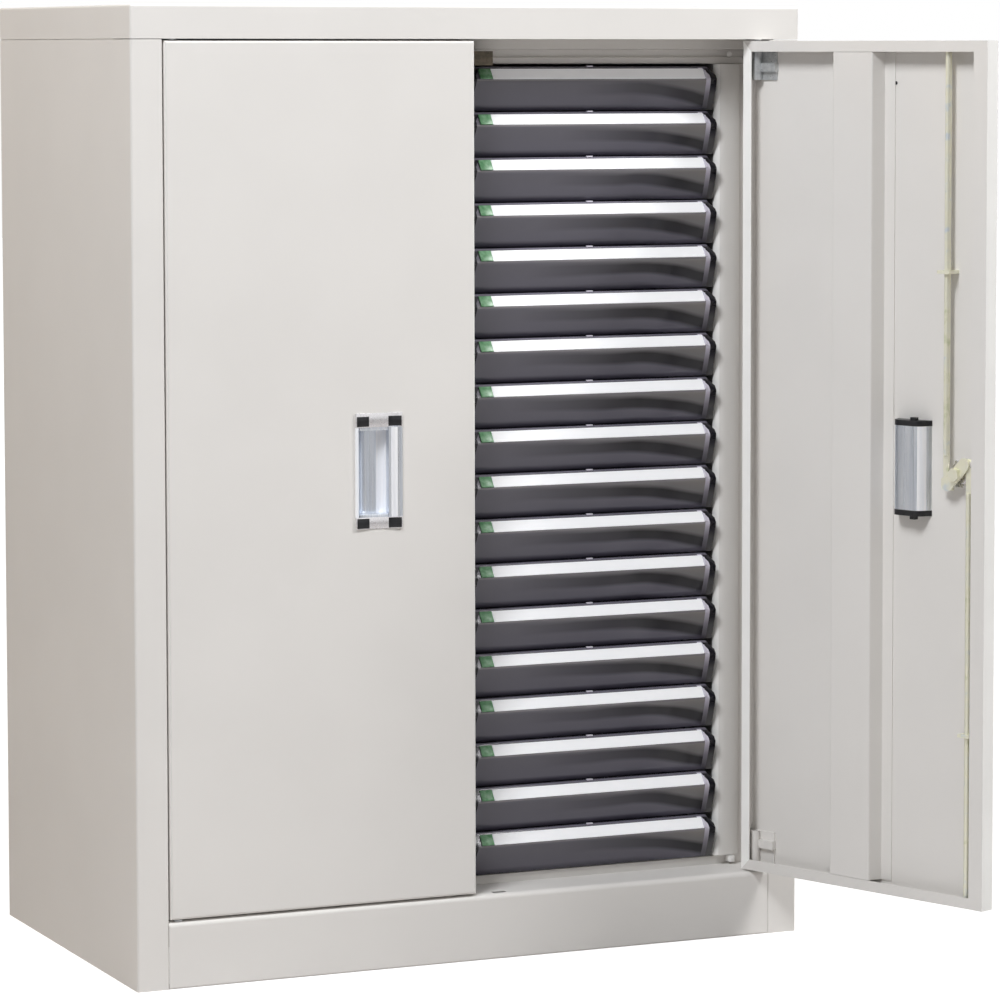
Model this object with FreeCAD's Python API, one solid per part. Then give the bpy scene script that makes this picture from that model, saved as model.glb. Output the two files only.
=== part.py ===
import FreeCAD, Part
import math
import os

# A steel cabinet with two doors and two banks of shallow plastic drawers.
# X runs to the right, Y to the back and Z up. The origin is the middle of the footprint.
# Every length is in millimetres and every angle in degrees.

Vec = FreeCAD.Vector

# The whole cabinet
WIDTH = 660.0
DEPTH = 390.0
HEIGHT = 880.0
SHEET = 1.0
BEND = 2.0

# Casing
CAP_H = 30.0
CAP_SEAM = 0.6
CAP_LAP = 12.0
STILE_W = 30.0
RECESS = 50.0
BACK_LIP = 15.0
FOOT_LIP = 15.0
PLINTH_H = 61.0
PLINTH_FOOT = 20.0
SILL_ROUND = 5.0
SILL_TUCK = 5.0
PAN_RISE = 8.0
POST_W = 33.0
HEADER_H = 23.0
HEADER_GROOVE = 4.0
HEADER_LIP = 6.0
HEADER_LEDGE = 9.0
HEADER_TUCK = 12.0
BEAM_W = 40.0
BEAM_LIP = 12.0
PARTITION = 2.0

# Doors
DOOR_T = 16.0
DOOR_GAP = 1.6
MEET_GAP = 2.0
DOOR_BEND = 2.5
HINGE_LIP = 10.0
FREE_LIP = 16.0
END_LIP = 10.0
RIGHT_OPEN = 110.4

# Stiffening channel inside each door, measured from the hinge edge
CHANNEL_AT = 112.5
CHANNEL_W = 48.0
CHANNEL_SLOPE = 4.0
CHANNEL_FOOT = 12.0
CHANNEL_END_GAP = 0.3

# Hinge pins, fixed to the casing, and the barrels that turn on them
PIN_FROM_EDGE = 8.5
PIN_FROM_FACE = 6.0
PIN_R = 2.5
PIN_FIT = 0.05
PIN_COLLAR_R = 4.5
PIN_COLLAR_H = 1.0
PIN_HOLE_GAP = 0.6
BARREL_R = 4.5
BARREL_L = 34.0
PIN_SHORT = 2.0
HINGE_PLATE_W = 26.0
HINGE_PLATE_T = 1.5
HINGE_TAB_L = 18.0
HINGE_TAB_H = 8.0

# Recessed pulls
PULL_FROM_FREE = 95.5
PULL_Z = 456.0
PULL_W = 46.0
PULL_H = 108.0
PULL_PROUD = 1.5
PULL_RIM = 2.0
PULL_CAP_H = 13.0
PULL_DEPTH = 15.0
PULL_WALL = 1.5
PULL_GRIP_R = 5.0
PULL_GRIP_IN = 2.5
PULL_BOWL_R = 10.5
PULL_TROUGH_R = 8.0

# Key lock with two rods
LOCK_FROM_FREE = 37.5
LOCK_Z = 457.0
LOCK_FACE_R = 12.0
LOCK_PROUD = 2.5
LOCK_BODY_R = 9.0
LOCK_HOLE_GAP = 0.3
LOCK_BODY_IN = 7.0
LOCK_NUT_AF = 24.0
LOCK_NUT_T = 3.0
KEYWAY_W = 1.4
KEYWAY_H = 9.0
KEYWAY_DEEP = 3.0
SPINDLE_R = 3.5
SPINDLE_GAP = 0.3
CRANK_R = 13.5
CRANK_W = 12.0
CRANK_T = 2.0
CRANK_START = 45.0
CRANK_NUT_AF = 11.0
CRANK_NUT_T = 4.0
CRANK_PIN_R = 2.0
ROD_R = 3.0
ROD_DEEP = 9.0
ROD_SHORT = 3.0
ROD_HOLE_GAP = 0.8
EYE_T = 2.0
EYE_WALL = 2.5
EYE_GAP = 0.6
SLOT_GAP = 0.8
EYE_NECK = 26.0
GUIDE_T = 3.0
GUIDE_W = 14.0
GUIDE_GAP = 0.4
UPPER_GUIDE_Z = 640.0
LOWER_GUIDE_Z = 220.0
KEEPER_SLOT_GAP = 3.0

# Magnetic catch under the header
CATCH_HALF_W = 24.0
CATCH_H = 13.0
CATCH_GAP = 0.3
CATCH_DROP = 1.0
CATCH_WALL = 4.0
CATCH_MAGNET_D = 8.0

# Drawers
ROWS = 18
ROW_GAP = 0.9
BANK_FLOOR_GAP = 1.0
BANK_TOP_GAP = 1.5
FRONT_SIDE_GAP = 3.0
FRONT_WALL = 2.4
FRONT_NOSE = 15.0
FRONT_HEEL = 2.0
RIM_H = 4.0
RIM_SLOPE = 2.0
LABEL_H = 9.5
LABEL_LEAN = 7.0
LABEL_LIP = 1.5
LABEL_T = 0.8
LABEL_START = 16.0
LABEL_END = 19.0
TRAY_WALL = 2.0
TRAY_SIDE_GAP = 9.0
TRAY_TOP_DROP = 5.0
TRAY_BACK_GAP = 8.0
RIM_W = 6.5
RIM_T = 2.0
RUN_GAP = 0.3
RUNNER_W = 7.5
RUNNER_T = 1.2
RUNNER_LEG = 8.0
RUNNER_START = 3.0

# Working allowances of the modelling itself
OVERCUT = 1.0
TOUCH = 1e-6
NEARLY_STRAIGHT = 89.5

# Places worked out from the sizes above
left_x = -WIDTH / 2
right_x = WIDTH / 2
front_y = -DEPTH / 2
back_y = DEPTH / 2
frame_y = front_y + RECESS
cap_z = HEIGHT - CAP_H
side_top_z = cap_z - CAP_SEAM
opening_x = right_x - STILE_W
post_x = opening_x - POST_W
pan_z = PLINTH_H + PAN_RISE
header_z = cap_z - HEADER_H
back_panel_y = back_y - 2 * SHEET

door_x0 = MEET_GAP / 2
door_x1 = opening_x - DOOR_GAP
door_y1 = front_y + DOOR_T
door_z0 = PLINTH_H + DOOR_GAP
door_z1 = cap_z - DOOR_GAP
pin_x = door_x1 - PIN_FROM_EDGE
pin_y = front_y + PIN_FROM_FACE

lock_x = door_x0 + LOCK_FROM_FREE
upper_rod_x = lock_x + CRANK_R
lower_rod_x = lock_x - CRANK_R
rod_y = front_y + ROD_DEEP
crank_lift = CRANK_R * math.sin(math.radians(CRANK_START))
crank_reach = CRANK_R * math.cos(math.radians(CRANK_START))

bank_z = pan_z + BANK_FLOOR_GAP
pitch = (header_z - BANK_TOP_GAP - bank_z) / ROWS
front_h = pitch - ROW_GAP
bay_w = post_x - PARTITION / 2
front_w = bay_w - 2 * FRONT_SIDE_GAP
column_x = PARTITION / 2 + bay_w / 2
tray_half = front_w / 2 - TRAY_SIDE_GAP
tray_back_y = back_panel_y - TRAY_BACK_GAP
wall_top = front_h - TRAY_TOP_DROP

pieces = {}


def keep(name, *solids):
    """Files one piece, or a group of like pieces, under its name."""
    pieces[name] = solids[0] if len(solids) == 1 else Part.makeCompound(list(solids))


def block(x0, x1, y0, y1, z0, z1):
    """A square-edged block between two corners."""
    return Part.makeBox(x1 - x0, y1 - y0, z1 - z0, Vec(x0, y0, z0))


def upright(x, y, z0, z1, radius):
    """A round bar standing on Z."""
    return Part.makeCylinder(radius, z1 - z0, Vec(x, y, z0))


def inward(x, z, y0, y1, radius):
    """A round bar lying along Y."""
    return Part.makeCylinder(radius, y1 - y0, Vec(x, y0, z), Vec(0, 1, 0))


def hexagon(x, z, y0, y1, across):
    """A hexagonal nut lying along Y, given its size across the flats."""
    reach = across / 2 / math.cos(math.radians(30))
    corners = []
    for turn in range(0, 360, 60):
        angle = math.radians(turn)
        corners.append(Vec(x + reach * math.cos(angle), y0, z + reach * math.sin(angle)))
    wire = Part.makePolygon(corners + corners[:1])
    return Part.Face(wire).extrude(Vec(0, y1 - y0, 0))


def mirrored(shape):
    """The same piece on the other side of the cabinet."""
    return shape.mirror(Vec(0, 0, 0), Vec(1, 0, 0))


def outline(corners):
    """A face from (u, v, radius) corners, with a tangent arc where the radius is above zero."""
    joints = []
    for index, (u, v, radius) in enumerate(corners):
        here = Vec(u, v, 0)
        before = Vec(corners[index - 1][0], corners[index - 1][1], 0) - here
        following = corners[(index + 1) % len(corners)]
        after = Vec(following[0], following[1], 0) - here
        before.normalize()
        after.normalize()
        half = before.getAngle(after) / 2
        if radius <= 0 or half > math.radians(NEARLY_STRAIGHT):
            joints.append((here, None, here))
            continue
        run = radius / math.tan(half)
        middle_line = before + after
        middle_line.normalize()
        centre = here + middle_line * (radius / math.sin(half))
        joints.append((here + before * run, centre - middle_line * radius, here + after * run))
    edges = []
    for index, (start, middle, end) in enumerate(joints):
        if middle is not None:
            edges.append(Part.Arc(start, middle, end).toShape())
        next_start = joints[(index + 1) % len(joints)][0]
        if end.distanceToPoint(next_start) > TOUCH:
            edges.append(Part.LineSegment(end, next_start).toShape())
    return Part.Face(Part.Wire(edges))


def standing(corners, z0, z1):
    """A solid with this plan, where u is X and v is Y, from height z0 to z1."""
    face = outline(corners)
    face.translate(Vec(0, 0, z0))
    return face.extrude(Vec(0, 0, z1 - z0))


def crosswise(corners, x0, x1):
    """A solid with this side view, where u is Y and v is Z, from x0 to x1."""
    solid = standing(corners, x0, x1)
    return solid.rotate(Vec(0, 0, 0), Vec(1, 1, 1), 120)


def folded(path, thickness, bend):
    """The outline of a folded sheet: path is one side of it, and its metal lies to the left."""
    steps = []
    for (u0, v0), (u1, v1) in zip(path, path[1:]):
        step = Vec(u1 - u0, v1 - v0, 0)
        step.normalize()
        steps.append(step)
    near, far = [], []
    for index, (u, v) in enumerate(path):
        arriving = steps[max(index - 1, 0)]
        leaving = steps[min(index, len(steps) - 1)]
        left = Vec(-arriving.y - leaving.y, arriving.x + leaving.x, 0)
        left.normalize()
        reach = thickness / left.dot(Vec(-arriving.y, arriving.x, 0))
        turn = arriving.x * leaving.y - arriving.y * leaving.x
        inner = max(bend - thickness, 0)
        near_bend = 0 if abs(turn) < TOUCH else (bend if turn > 0 else inner)
        far_bend = 0 if abs(turn) < TOUCH else (inner if turn > 0 else bend)
        near.append((u, v, near_bend))
        far.append((u + left.x * reach, v + left.y * reach, far_bend))
    return near + far[::-1]


# Casing
def side_panel():
    """The right side, folded round the front stile and in again to the drawer frame."""
    path = [
        (right_x - BACK_LIP, back_y),
        (right_x, back_y),
        (right_x, front_y),
        (opening_x, front_y),
        (opening_x, frame_y + SHEET),
    ]
    panel = standing(folded(path[::-1], SHEET, BEND), 0, side_top_z)
    foot = block(right_x - FOOT_LIP, right_x - SHEET / 2, frame_y, back_panel_y, 0, SHEET)
    return panel.fuse(foot).removeSplitter()


def top_cap():
    """A shallow lid with a soffit behind its front edge and lapped flanges inside the sides."""
    outer = block(left_x, right_x, front_y, back_y, cap_z, HEIGHT)
    rounded = [
        edge
        for edge in outer.Edges
        if edge.CenterOfMass.z > cap_z + SHEET
    ]
    outer = outer.makeFillet(BEND, rounded)
    inner = block(
        left_x + SHEET, right_x - SHEET, front_y + SHEET, back_y - SHEET, cap_z - SHEET, HEIGHT - SHEET
    )
    cap = outer.cut(inner)
    half_sheet = SHEET / 2
    soffit = block(
        left_x + half_sheet, right_x - half_sheet, front_y + half_sheet, frame_y, cap_z, cap_z + SHEET
    )
    solids = [soffit]
    for side in (-1, 1):
        ledge_x = sorted((side * (right_x - SHEET / 2), side * (right_x - 2 * SHEET)))
        flange_x = sorted((side * (right_x - SHEET), side * (right_x - 2 * SHEET)))
        solids.append(block(*ledge_x, frame_y, back_panel_y, cap_z, cap_z + SHEET))
        solids.append(block(*flange_x, frame_y, back_panel_y, cap_z - CAP_LAP, cap_z + SHEET))
    cap = cap.fuse(solids)
    slot_r = ROD_R + ROD_HOLE_GAP
    slot = block(
        upper_rod_x - slot_r - KEEPER_SLOT_GAP,
        upper_rod_x + slot_r + KEEPER_SLOT_GAP,
        rod_y - slot_r,
        rod_y + slot_r,
        cap_z - SHEET,
        cap_z + 2 * SHEET,
    )
    return cap.cut(slot).removeSplitter()


def back_panel():
    """The flat back, standing inside the two back flanges."""
    return block(left_x + BEND, right_x - BEND, back_panel_y, back_y - SHEET, 0, side_top_z)


def plinth_rail():
    """The kick rail under the doors, folded back as the sill that they close over."""
    path = [
        (front_y + PLINTH_FOOT, 0),
        (front_y, 0),
        (front_y, PLINTH_H),
        (frame_y + SILL_TUCK, PLINTH_H),
    ]
    outer = folded(path[::-1], SHEET, BEND)
    corners = []
    for u, v, radius in outer:
        if radius > 0 and v > PLINTH_H / 2:
            radius += SILL_ROUND - BEND
        corners.append((u, v, radius))
    rail = crosswise(corners, -opening_x, opening_x)
    slot_r = ROD_R + ROD_HOLE_GAP
    slot = block(
        lower_rod_x - slot_r - KEEPER_SLOT_GAP,
        lower_rod_x + slot_r + KEEPER_SLOT_GAP,
        rod_y - slot_r,
        rod_y + slot_r,
        PLINTH_H - 2 * SHEET,
        PLINTH_H + SHEET,
    )
    return rail.cut(slot)


def bottom_pan():
    """The floor under the drawers, turned down in front on to the sill."""
    floor = block(
        left_x + SHEET, right_x - SHEET, frame_y + SHEET, back_panel_y, pan_z - SHEET, pan_z
    )
    front = block(-opening_x, opening_x, frame_y, frame_y + SHEET, PLINTH_H, pan_z)
    return floor.fuse(front).removeSplitter()


def base_beam():
    """A hat-shaped beam across the middle, which carries the floor down to the ground."""
    half = BEAM_W / 2
    top = pan_z - SHEET
    path = [
        (-half - BEAM_LIP, top - SHEET),
        (-half, top - SHEET),
        (-half, 0),
        (half, 0),
        (half, top - SHEET),
        (half + BEAM_LIP, top - SHEET),
    ]
    beam = crosswise(folded(path, SHEET, BEND), left_x + FOOT_LIP, right_x - FOOT_LIP)
    return beam


def drawer_header():
    """The grooved strip between the top of the drawers and the soffit."""
    lip_z = header_z + HEADER_LIP
    ledge_z = cap_z - HEADER_LEDGE
    path = [
        (frame_y + HEADER_TUCK, header_z),
        (frame_y, header_z),
        (frame_y, lip_z),
        (frame_y + HEADER_GROOVE, lip_z + SHEET),
        (frame_y + HEADER_GROOVE, ledge_z - SHEET),
        (frame_y, ledge_z),
        (frame_y, cap_z),
    ]
    return crosswise(folded(path[::-1], SHEET, SHEET), -opening_x, opening_x)


def runner_plate():
    """The right wall of the drawer bay, turned out in front as the post beside the drawers."""
    path = [
        (opening_x, frame_y),
        (post_x, frame_y),
        (post_x, back_panel_y),
    ]
    return standing(folded(path[::-1], SHEET, SHEET), pan_z, header_z)


def partition():
    """The wall between the two columns of drawers."""
    return block(-PARTITION / 2, PARTITION / 2, frame_y, back_panel_y, pan_z, header_z)


def runner(row, side):
    """One angle in the right column; side is 1 for its right-hand wall and -1 for its left."""
    shelf_z = bank_z + row * pitch + wall_top - RIM_T - RUN_GAP
    wall = bay_w / 2
    shelf_x = sorted((column_x + side * wall, column_x + side * (wall - RUNNER_W)))
    leg_x = sorted((column_x + side * wall, column_x + side * (wall - RUNNER_T)))
    start = frame_y + RUNNER_START
    shelf = block(*shelf_x, start, back_panel_y, shelf_z - RUNNER_T, shelf_z)
    leg = block(*leg_x, start, back_panel_y, shelf_z - RUNNER_T - RUNNER_LEG, shelf_z)
    return shelf.fuse(leg).removeSplitter()


def catch():
    """The double magnet that meets the free edges of both doors."""
    front = door_y1 + CATCH_GAP
    top = header_z - CATCH_DROP + CATCH_H
    body = block(-CATCH_HALF_W, CATCH_HALF_W, front, frame_y, header_z - CATCH_DROP, top)
    magnets = []
    for side in (-1, 1):
        span = sorted((side * CATCH_WALL / 2, side * (CATCH_HALF_W - CATCH_WALL)))
        magnets.append(
            block(
                *span,
                front,
                front + CATCH_MAGNET_D,
                header_z - CATCH_DROP + CATCH_WALL,
                top - CATCH_WALL,
            )
        )
    for magnet in magnets:
        body = body.cut(magnet)
    return [body] + magnets


# Doors, built as the right-hand one, closed
def edges_at(shape, y):
    """The edges of a shape that lie in the upright plane at this Y."""
    return [
        edge
        for edge in shape.Edges
        if abs(edge.BoundBox.YMax - y) < TOUCH and abs(edge.BoundBox.YMin - y) < TOUCH
    ]


def door_shell(with_lock):
    """A tray of sheet steel with a narrow lip all round its inner side."""
    outer = block(door_x0, door_x1, front_y, door_y1, door_z0, door_z1)
    outer = outer.makeFillet(DOOR_BEND, edges_at(outer, front_y))
    skin_y = front_y + SHEET
    hollow = block(
        door_x0 + SHEET, door_x1 - SHEET, skin_y, door_y1 - SHEET, door_z0 + SHEET, door_z1 - SHEET
    )
    hollow = hollow.makeFillet(max(DOOR_BEND - SHEET, SHEET / 2), edges_at(hollow, skin_y))
    window = block(
        door_x0 + FREE_LIP,
        door_x1 - HINGE_LIP,
        door_y1 - 2 * SHEET,
        door_y1 + SHEET,
        door_z0 + END_LIP,
        door_z1 - END_LIP,
    )
    shell = outer.cut(hollow).cut(window)
    pull_x = door_x0 + PULL_FROM_FREE
    half_w = PULL_W / 2 - PULL_RIM
    half_h = PULL_H / 2 - PULL_RIM
    shell = shell.cut(
        block(
            pull_x - half_w,
            pull_x + half_w,
            front_y - SHEET,
            skin_y + SHEET,
            PULL_Z - half_h,
            PULL_Z + half_h,
        )
    )
    pin_hole = PIN_R + PIN_HOLE_GAP
    shell = shell.cut(upright(pin_x, pin_y, door_z0 - SHEET, door_z0 + 2 * SHEET, pin_hole))
    shell = shell.cut(upright(pin_x, pin_y, door_z1 - 2 * SHEET, door_z1 + SHEET, pin_hole))
    if with_lock:
        rod_hole = ROD_R + ROD_HOLE_GAP
        shell = shell.cut(
            inward(lock_x, LOCK_Z, front_y - SHEET, skin_y + SHEET, LOCK_BODY_R + LOCK_HOLE_GAP)
        )
        shell = shell.cut(upright(upper_rod_x, rod_y, door_z1 - 2 * SHEET, door_z1 + SHEET, rod_hole))
        shell = shell.cut(upright(lower_rod_x, rod_y, door_z0 - SHEET, door_z0 + 2 * SHEET, rod_hole))
    return shell


def door_channel():
    """The upright hat section that stiffens the door, level with its lips."""
    skin_y = front_y + SHEET
    crown_x1 = door_x1 - CHANNEL_AT
    crown_x0 = crown_x1 - CHANNEL_W
    path = [
        (crown_x0 - CHANNEL_SLOPE - CHANNEL_FOOT, skin_y + SHEET),
        (crown_x0 - CHANNEL_SLOPE, skin_y + SHEET),
        (crown_x0, door_y1),
        (crown_x1, door_y1),
        (crown_x1 + CHANNEL_SLOPE, skin_y + SHEET),
        (crown_x1 + CHANNEL_SLOPE + CHANNEL_FOOT, skin_y + SHEET),
    ]
    low = door_z0 + END_LIP + CHANNEL_END_GAP
    high = door_z1 - END_LIP - CHANNEL_END_GAP
    return standing(folded(path[::-1], SHEET, BEND), low, high)


def pull():
    """A recessed pull: an extruded trough with a round grip along it, and a cap at each end."""
    centre_x = door_x0 + PULL_FROM_FREE
    rim_y = front_y - PULL_PROUD
    half_w = PULL_W / 2
    inner_half = half_w - PULL_RIM
    low = PULL_Z - PULL_H / 2
    high = PULL_Z + PULL_H / 2
    trough_half = inner_half - PULL_GRIP_R
    trough_x = centre_x + PULL_GRIP_R
    floor_y = front_y + PULL_DEPTH
    bowl = standing(
        [
            (centre_x - inner_half, front_y, 0),
            (centre_x + inner_half, front_y, 0),
            (centre_x + inner_half, floor_y, PULL_BOWL_R),
            (centre_x - inner_half, floor_y, PULL_BOWL_R),
        ],
        low + PULL_CAP_H,
        high - PULL_CAP_H,
    )
    rim = block(centre_x - half_w, centre_x + half_w, rim_y, front_y, low + PULL_CAP_H, high - PULL_CAP_H)
    body = bowl.fuse(rim)
    deep = PULL_DEPTH - PULL_WALL
    cut_corners = [
        (trough_x - trough_half + PULL_WALL, rim_y - OVERCUT, 0),
        (trough_x + trough_half - PULL_WALL, rim_y - OVERCUT, 0),
        (trough_x + trough_half - PULL_WALL, front_y + deep, PULL_TROUGH_R),
        (trough_x - trough_half + PULL_WALL, front_y + deep, PULL_TROUGH_R),
    ]
    body = body.cut(standing(cut_corners, low + PULL_CAP_H - OVERCUT, high - PULL_CAP_H + OVERCUT))
    grip_x = centre_x - half_w + PULL_RIM + PULL_GRIP_R
    grip = upright(grip_x, rim_y + PULL_GRIP_IN, low + PULL_CAP_H, high - PULL_CAP_H, PULL_GRIP_R)
    body = body.fuse(grip).removeSplitter()
    caps = []
    for z0, z1 in ((low, low + PULL_CAP_H), (high - PULL_CAP_H, high)):
        plate = block(centre_x - half_w, centre_x + half_w, rim_y, front_y, z0, z1)
        plug_z0 = max(z0, low + PULL_RIM)
        plug_z1 = min(z1, high - PULL_RIM)
        plug = block(
            centre_x - inner_half, centre_x + inner_half, front_y, floor_y - PULL_WALL, plug_z0, plug_z1
        )
        caps.append(plate.fuse(plug).removeSplitter())
    return [body] + caps


def hinge_bracket(z_end, inward_z):
    """A pin barrel with its plate and tab; z_end is its outer end and inward_z its way into the door."""
    z_far = z_end + inward_z * BARREL_L
    z0, z1 = sorted((z_end, z_far))
    skin_y = front_y + SHEET
    barrel = upright(pin_x, pin_y, z0, z1, BARREL_R)
    plate = block(
        pin_x + BARREL_R - HINGE_PLATE_W, pin_x + BARREL_R, skin_y, skin_y + HINGE_PLATE_T, z0, z1
    )
    tab_z = sorted((z_far - inward_z * 2 * HINGE_TAB_H, z_far - inward_z * HINGE_TAB_H))
    tab = block(
        pin_x - BARREL_R - HINGE_TAB_L, pin_x, skin_y, pin_y, tab_z[0], tab_z[1]
    )
    bore = upright(pin_x, pin_y, z0 - OVERCUT, z1 + OVERCUT, PIN_R + PIN_FIT)
    return barrel.fuse([plate, tab]).cut(bore).removeSplitter()


def rod_guide(x, z):
    """A plate on the door's skin with a hole for one lock rod."""
    plate = block(
        x - GUIDE_W / 2,
        x + GUIDE_W / 2,
        front_y + SHEET,
        rod_y + ROD_R + GUIDE_GAP + GUIDE_T,
        z - GUIDE_T / 2,
        z + GUIDE_T / 2,
    )
    return plate.cut(upright(x, rod_y, z - GUIDE_T, z + GUIDE_T, ROD_R + GUIDE_GAP))


def hinge_pin(z_root, way):
    """A collared pin; z_root is the face it stands on and way is 1 up or -1 down."""
    length = DOOR_GAP + DOOR_BEND + BARREL_L - PIN_SHORT
    z0, z1 = sorted((z_root, z_root + way * length))
    c0, c1 = sorted((z_root, z_root + way * PIN_COLLAR_H))
    return upright(pin_x, pin_y, z0, z1, PIN_R).fuse(
        upright(pin_x, pin_y, c0, c1, PIN_COLLAR_R)
    ).removeSplitter()


# Lock, built with the right-hand door closed
def lock_cylinder():
    """The key cylinder: face, body through the skin, and the nut that clamps it."""
    face_y = front_y - LOCK_PROUD
    body = inward(lock_x, LOCK_Z, face_y, front_y, LOCK_FACE_R)
    body = body.fuse(inward(lock_x, LOCK_Z, front_y, front_y + LOCK_BODY_IN, LOCK_BODY_R))
    skin_y = front_y + SHEET
    body = body.fuse(hexagon(lock_x, LOCK_Z, skin_y, skin_y + LOCK_NUT_T, LOCK_NUT_AF))
    keyway = block(
        lock_x - KEYWAY_W / 2,
        lock_x + KEYWAY_W / 2,
        face_y - OVERCUT,
        face_y + KEYWAY_DEEP,
        LOCK_Z - KEYWAY_H / 2,
        LOCK_Z + KEYWAY_H / 2,
    )
    return body.cut(keyway).removeSplitter()


def lock_cam():
    """The crank on the back of the cylinder, with a pin at each end for a rod."""
    eye_back = rod_y + EYE_T / 2
    plate_y0 = eye_back + EYE_GAP
    plate_y1 = plate_y0 + CRANK_T
    plate = block(
        lock_x - CRANK_R, lock_x + CRANK_R, plate_y0, plate_y1, LOCK_Z - CRANK_W / 2, LOCK_Z + CRANK_W / 2
    )
    parts = []
    for side in (-1, 1):
        pin_at = lock_x + side * CRANK_R
        parts.append(inward(pin_at, LOCK_Z, plate_y0, plate_y1, CRANK_W / 2))
        parts.append(inward(pin_at, LOCK_Z, rod_y - EYE_T / 2 - EYE_GAP, plate_y1, CRANK_PIN_R))
    spindle_y0 = front_y + LOCK_BODY_IN + SPINDLE_GAP
    parts.append(inward(lock_x, LOCK_Z, spindle_y0, plate_y1, SPINDLE_R))
    parts.append(hexagon(lock_x, LOCK_Z, plate_y1, plate_y1 + CRANK_NUT_T, CRANK_NUT_AF))
    cam = plate.fuse(parts).removeSplitter()
    return cam.rotate(Vec(lock_x, 0, LOCK_Z), Vec(0, 1, 0), CRANK_START)


def lock_rod(side):
    """A rod with a slotted eye; side is 1 for the upper rod and -1 for the lower."""
    rod_x = lock_x + side * CRANK_R
    eye_z = LOCK_Z - side * crank_lift
    slot_h = CRANK_PIN_R + SLOT_GAP
    near = crank_reach - CRANK_PIN_R - SLOT_GAP
    far = CRANK_R + CRANK_PIN_R + SLOT_GAP
    eye_y0 = rod_y - EYE_T / 2
    eye_y1 = rod_y + EYE_T / 2
    plate_x = sorted((lock_x + side * (near - EYE_WALL + SLOT_GAP), lock_x + side * (far + EYE_WALL)))
    neck_z = eye_z + side * EYE_NECK
    plate_z = sorted((eye_z - side * (slot_h + EYE_WALL), eye_z + side * (slot_h + EYE_WALL)))
    plate = block(*plate_x, eye_y0, eye_y1, *plate_z)
    neck_x = sorted((rod_x - ROD_R, rod_x + ROD_R))
    neck = block(*neck_x, eye_y0, eye_y1, *sorted((eye_z + side * slot_h, neck_z + side * ROD_R)))
    slot_x = sorted((lock_x + side * near, lock_x + side * far))
    slot = block(*slot_x, eye_y0 - OVERCUT, eye_y1 + OVERCUT, eye_z - slot_h, eye_z + slot_h)
    end_z = door_z1 - ROD_SHORT if side > 0 else door_z0 + ROD_SHORT
    bar = upright(rod_x, rod_y, *sorted((neck_z, end_z)), ROD_R)
    return plate.fuse(neck).cut(slot).fuse(bar).removeSplitter()


# Drawers
def drawer(row, column):
    """A moulded tray with a nosed front, and its label card; column is the X of its middle."""
    base = bank_z + row * pitch
    top = base + front_h
    rim_z = top - RIM_H
    nose_z = rim_z - LABEL_H
    x0 = column - front_w / 2
    x1 = column + front_w / 2
    label_back = frame_y - FRONT_NOSE + LABEL_LEAN
    path = [
        (frame_y, top),
        (label_back + RIM_SLOPE, top),
        (label_back, rim_z),
        (frame_y - FRONT_NOSE, nose_z),
        (frame_y - FRONT_NOSE, nose_z - LABEL_LIP),
        (frame_y - FRONT_HEEL, base),
    ]
    profile = [(u, v, 0) for u, v in path] + [(frame_y, base, 0)]
    front = crosswise(folded(path, FRONT_WALL, 0), x0, x1)
    solids = []
    for cheek_x in (x0, x1 - FRONT_WALL):
        solids.append(crosswise(profile, cheek_x, cheek_x + FRONT_WALL))
    wall_z = base + wall_top
    side_x0 = column - tray_half
    side_x1 = column + tray_half
    solids.append(block(x0, x1, frame_y - FRONT_HEEL, frame_y, base, base + TRAY_WALL))
    solids.append(block(x0, side_x0 + TRAY_WALL, frame_y, frame_y + TRAY_WALL, base, top))
    solids.append(block(side_x1 - TRAY_WALL, x1, frame_y, frame_y + TRAY_WALL, base, top))
    solids.append(block(side_x0, side_x1, frame_y, tray_back_y, base, base + TRAY_WALL))
    solids.append(block(side_x0, side_x1, tray_back_y - TRAY_WALL, tray_back_y, base, wall_z))
    for inner_x, outer_x, rim_x in (
        (side_x0 + TRAY_WALL, side_x0, side_x0 - RIM_W),
        (side_x1 - TRAY_WALL, side_x1, side_x1 + RIM_W),
    ):
        wall = sorted((inner_x, outer_x))
        rim = sorted((inner_x, rim_x))
        solids.append(block(*wall, frame_y, tray_back_y, base, wall_z))
        solids.append(block(*rim, frame_y + TRAY_WALL, tray_back_y, wall_z - RIM_T, wall_z))
    tray = front.fuse(solids).removeSplitter()
    slope = Vec(0, LABEL_LEAN, LABEL_H)
    slope.normalize()
    outward = Vec(0, -slope.z, slope.y) * LABEL_T
    card_side = [
        (label_back, rim_z, 0),
        (frame_y - FRONT_NOSE, nose_z, 0),
        (frame_y - FRONT_NOSE + outward.y, nose_z + outward.z, 0),
        (label_back + outward.y, rim_z + outward.z, 0),
    ]
    card = crosswise(card_side, x0 + LABEL_START, x1 - LABEL_END)
    return [tray, card]


def opened(shape):
    """Turns a closed right-hand door piece to where the door stands open."""
    return shape.rotate(Vec(pin_x, pin_y, 0), Vec(0, 0, 1), RIGHT_OPEN)


keep("side_panel_left", mirrored(side_panel()))
keep("side_panel_right", side_panel())
keep("top_cap", top_cap())
keep("back_panel", back_panel())
keep("plinth_rail", plinth_rail())
keep("bottom_pan", bottom_pan())
keep("base_beam", base_beam())
keep("drawer_header", drawer_header())
keep("bay_walls", mirrored(runner_plate()), partition(), runner_plate())

runners = []
for row in range(ROWS):
    for side in (-1, 1):
        runners.append(mirrored(runner(row, side)))
        runners.append(runner(row, side))
keep("drawer_runners", *runners)

keep("magnetic_catch", *catch())

pins = []
for z_root, way in ((PLINTH_H, 1), (cap_z, -1)):
    pins.append(mirrored(hinge_pin(z_root, way)))
    pins.append(hinge_pin(z_root, way))
keep("hinge_pins", *pins)

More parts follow.
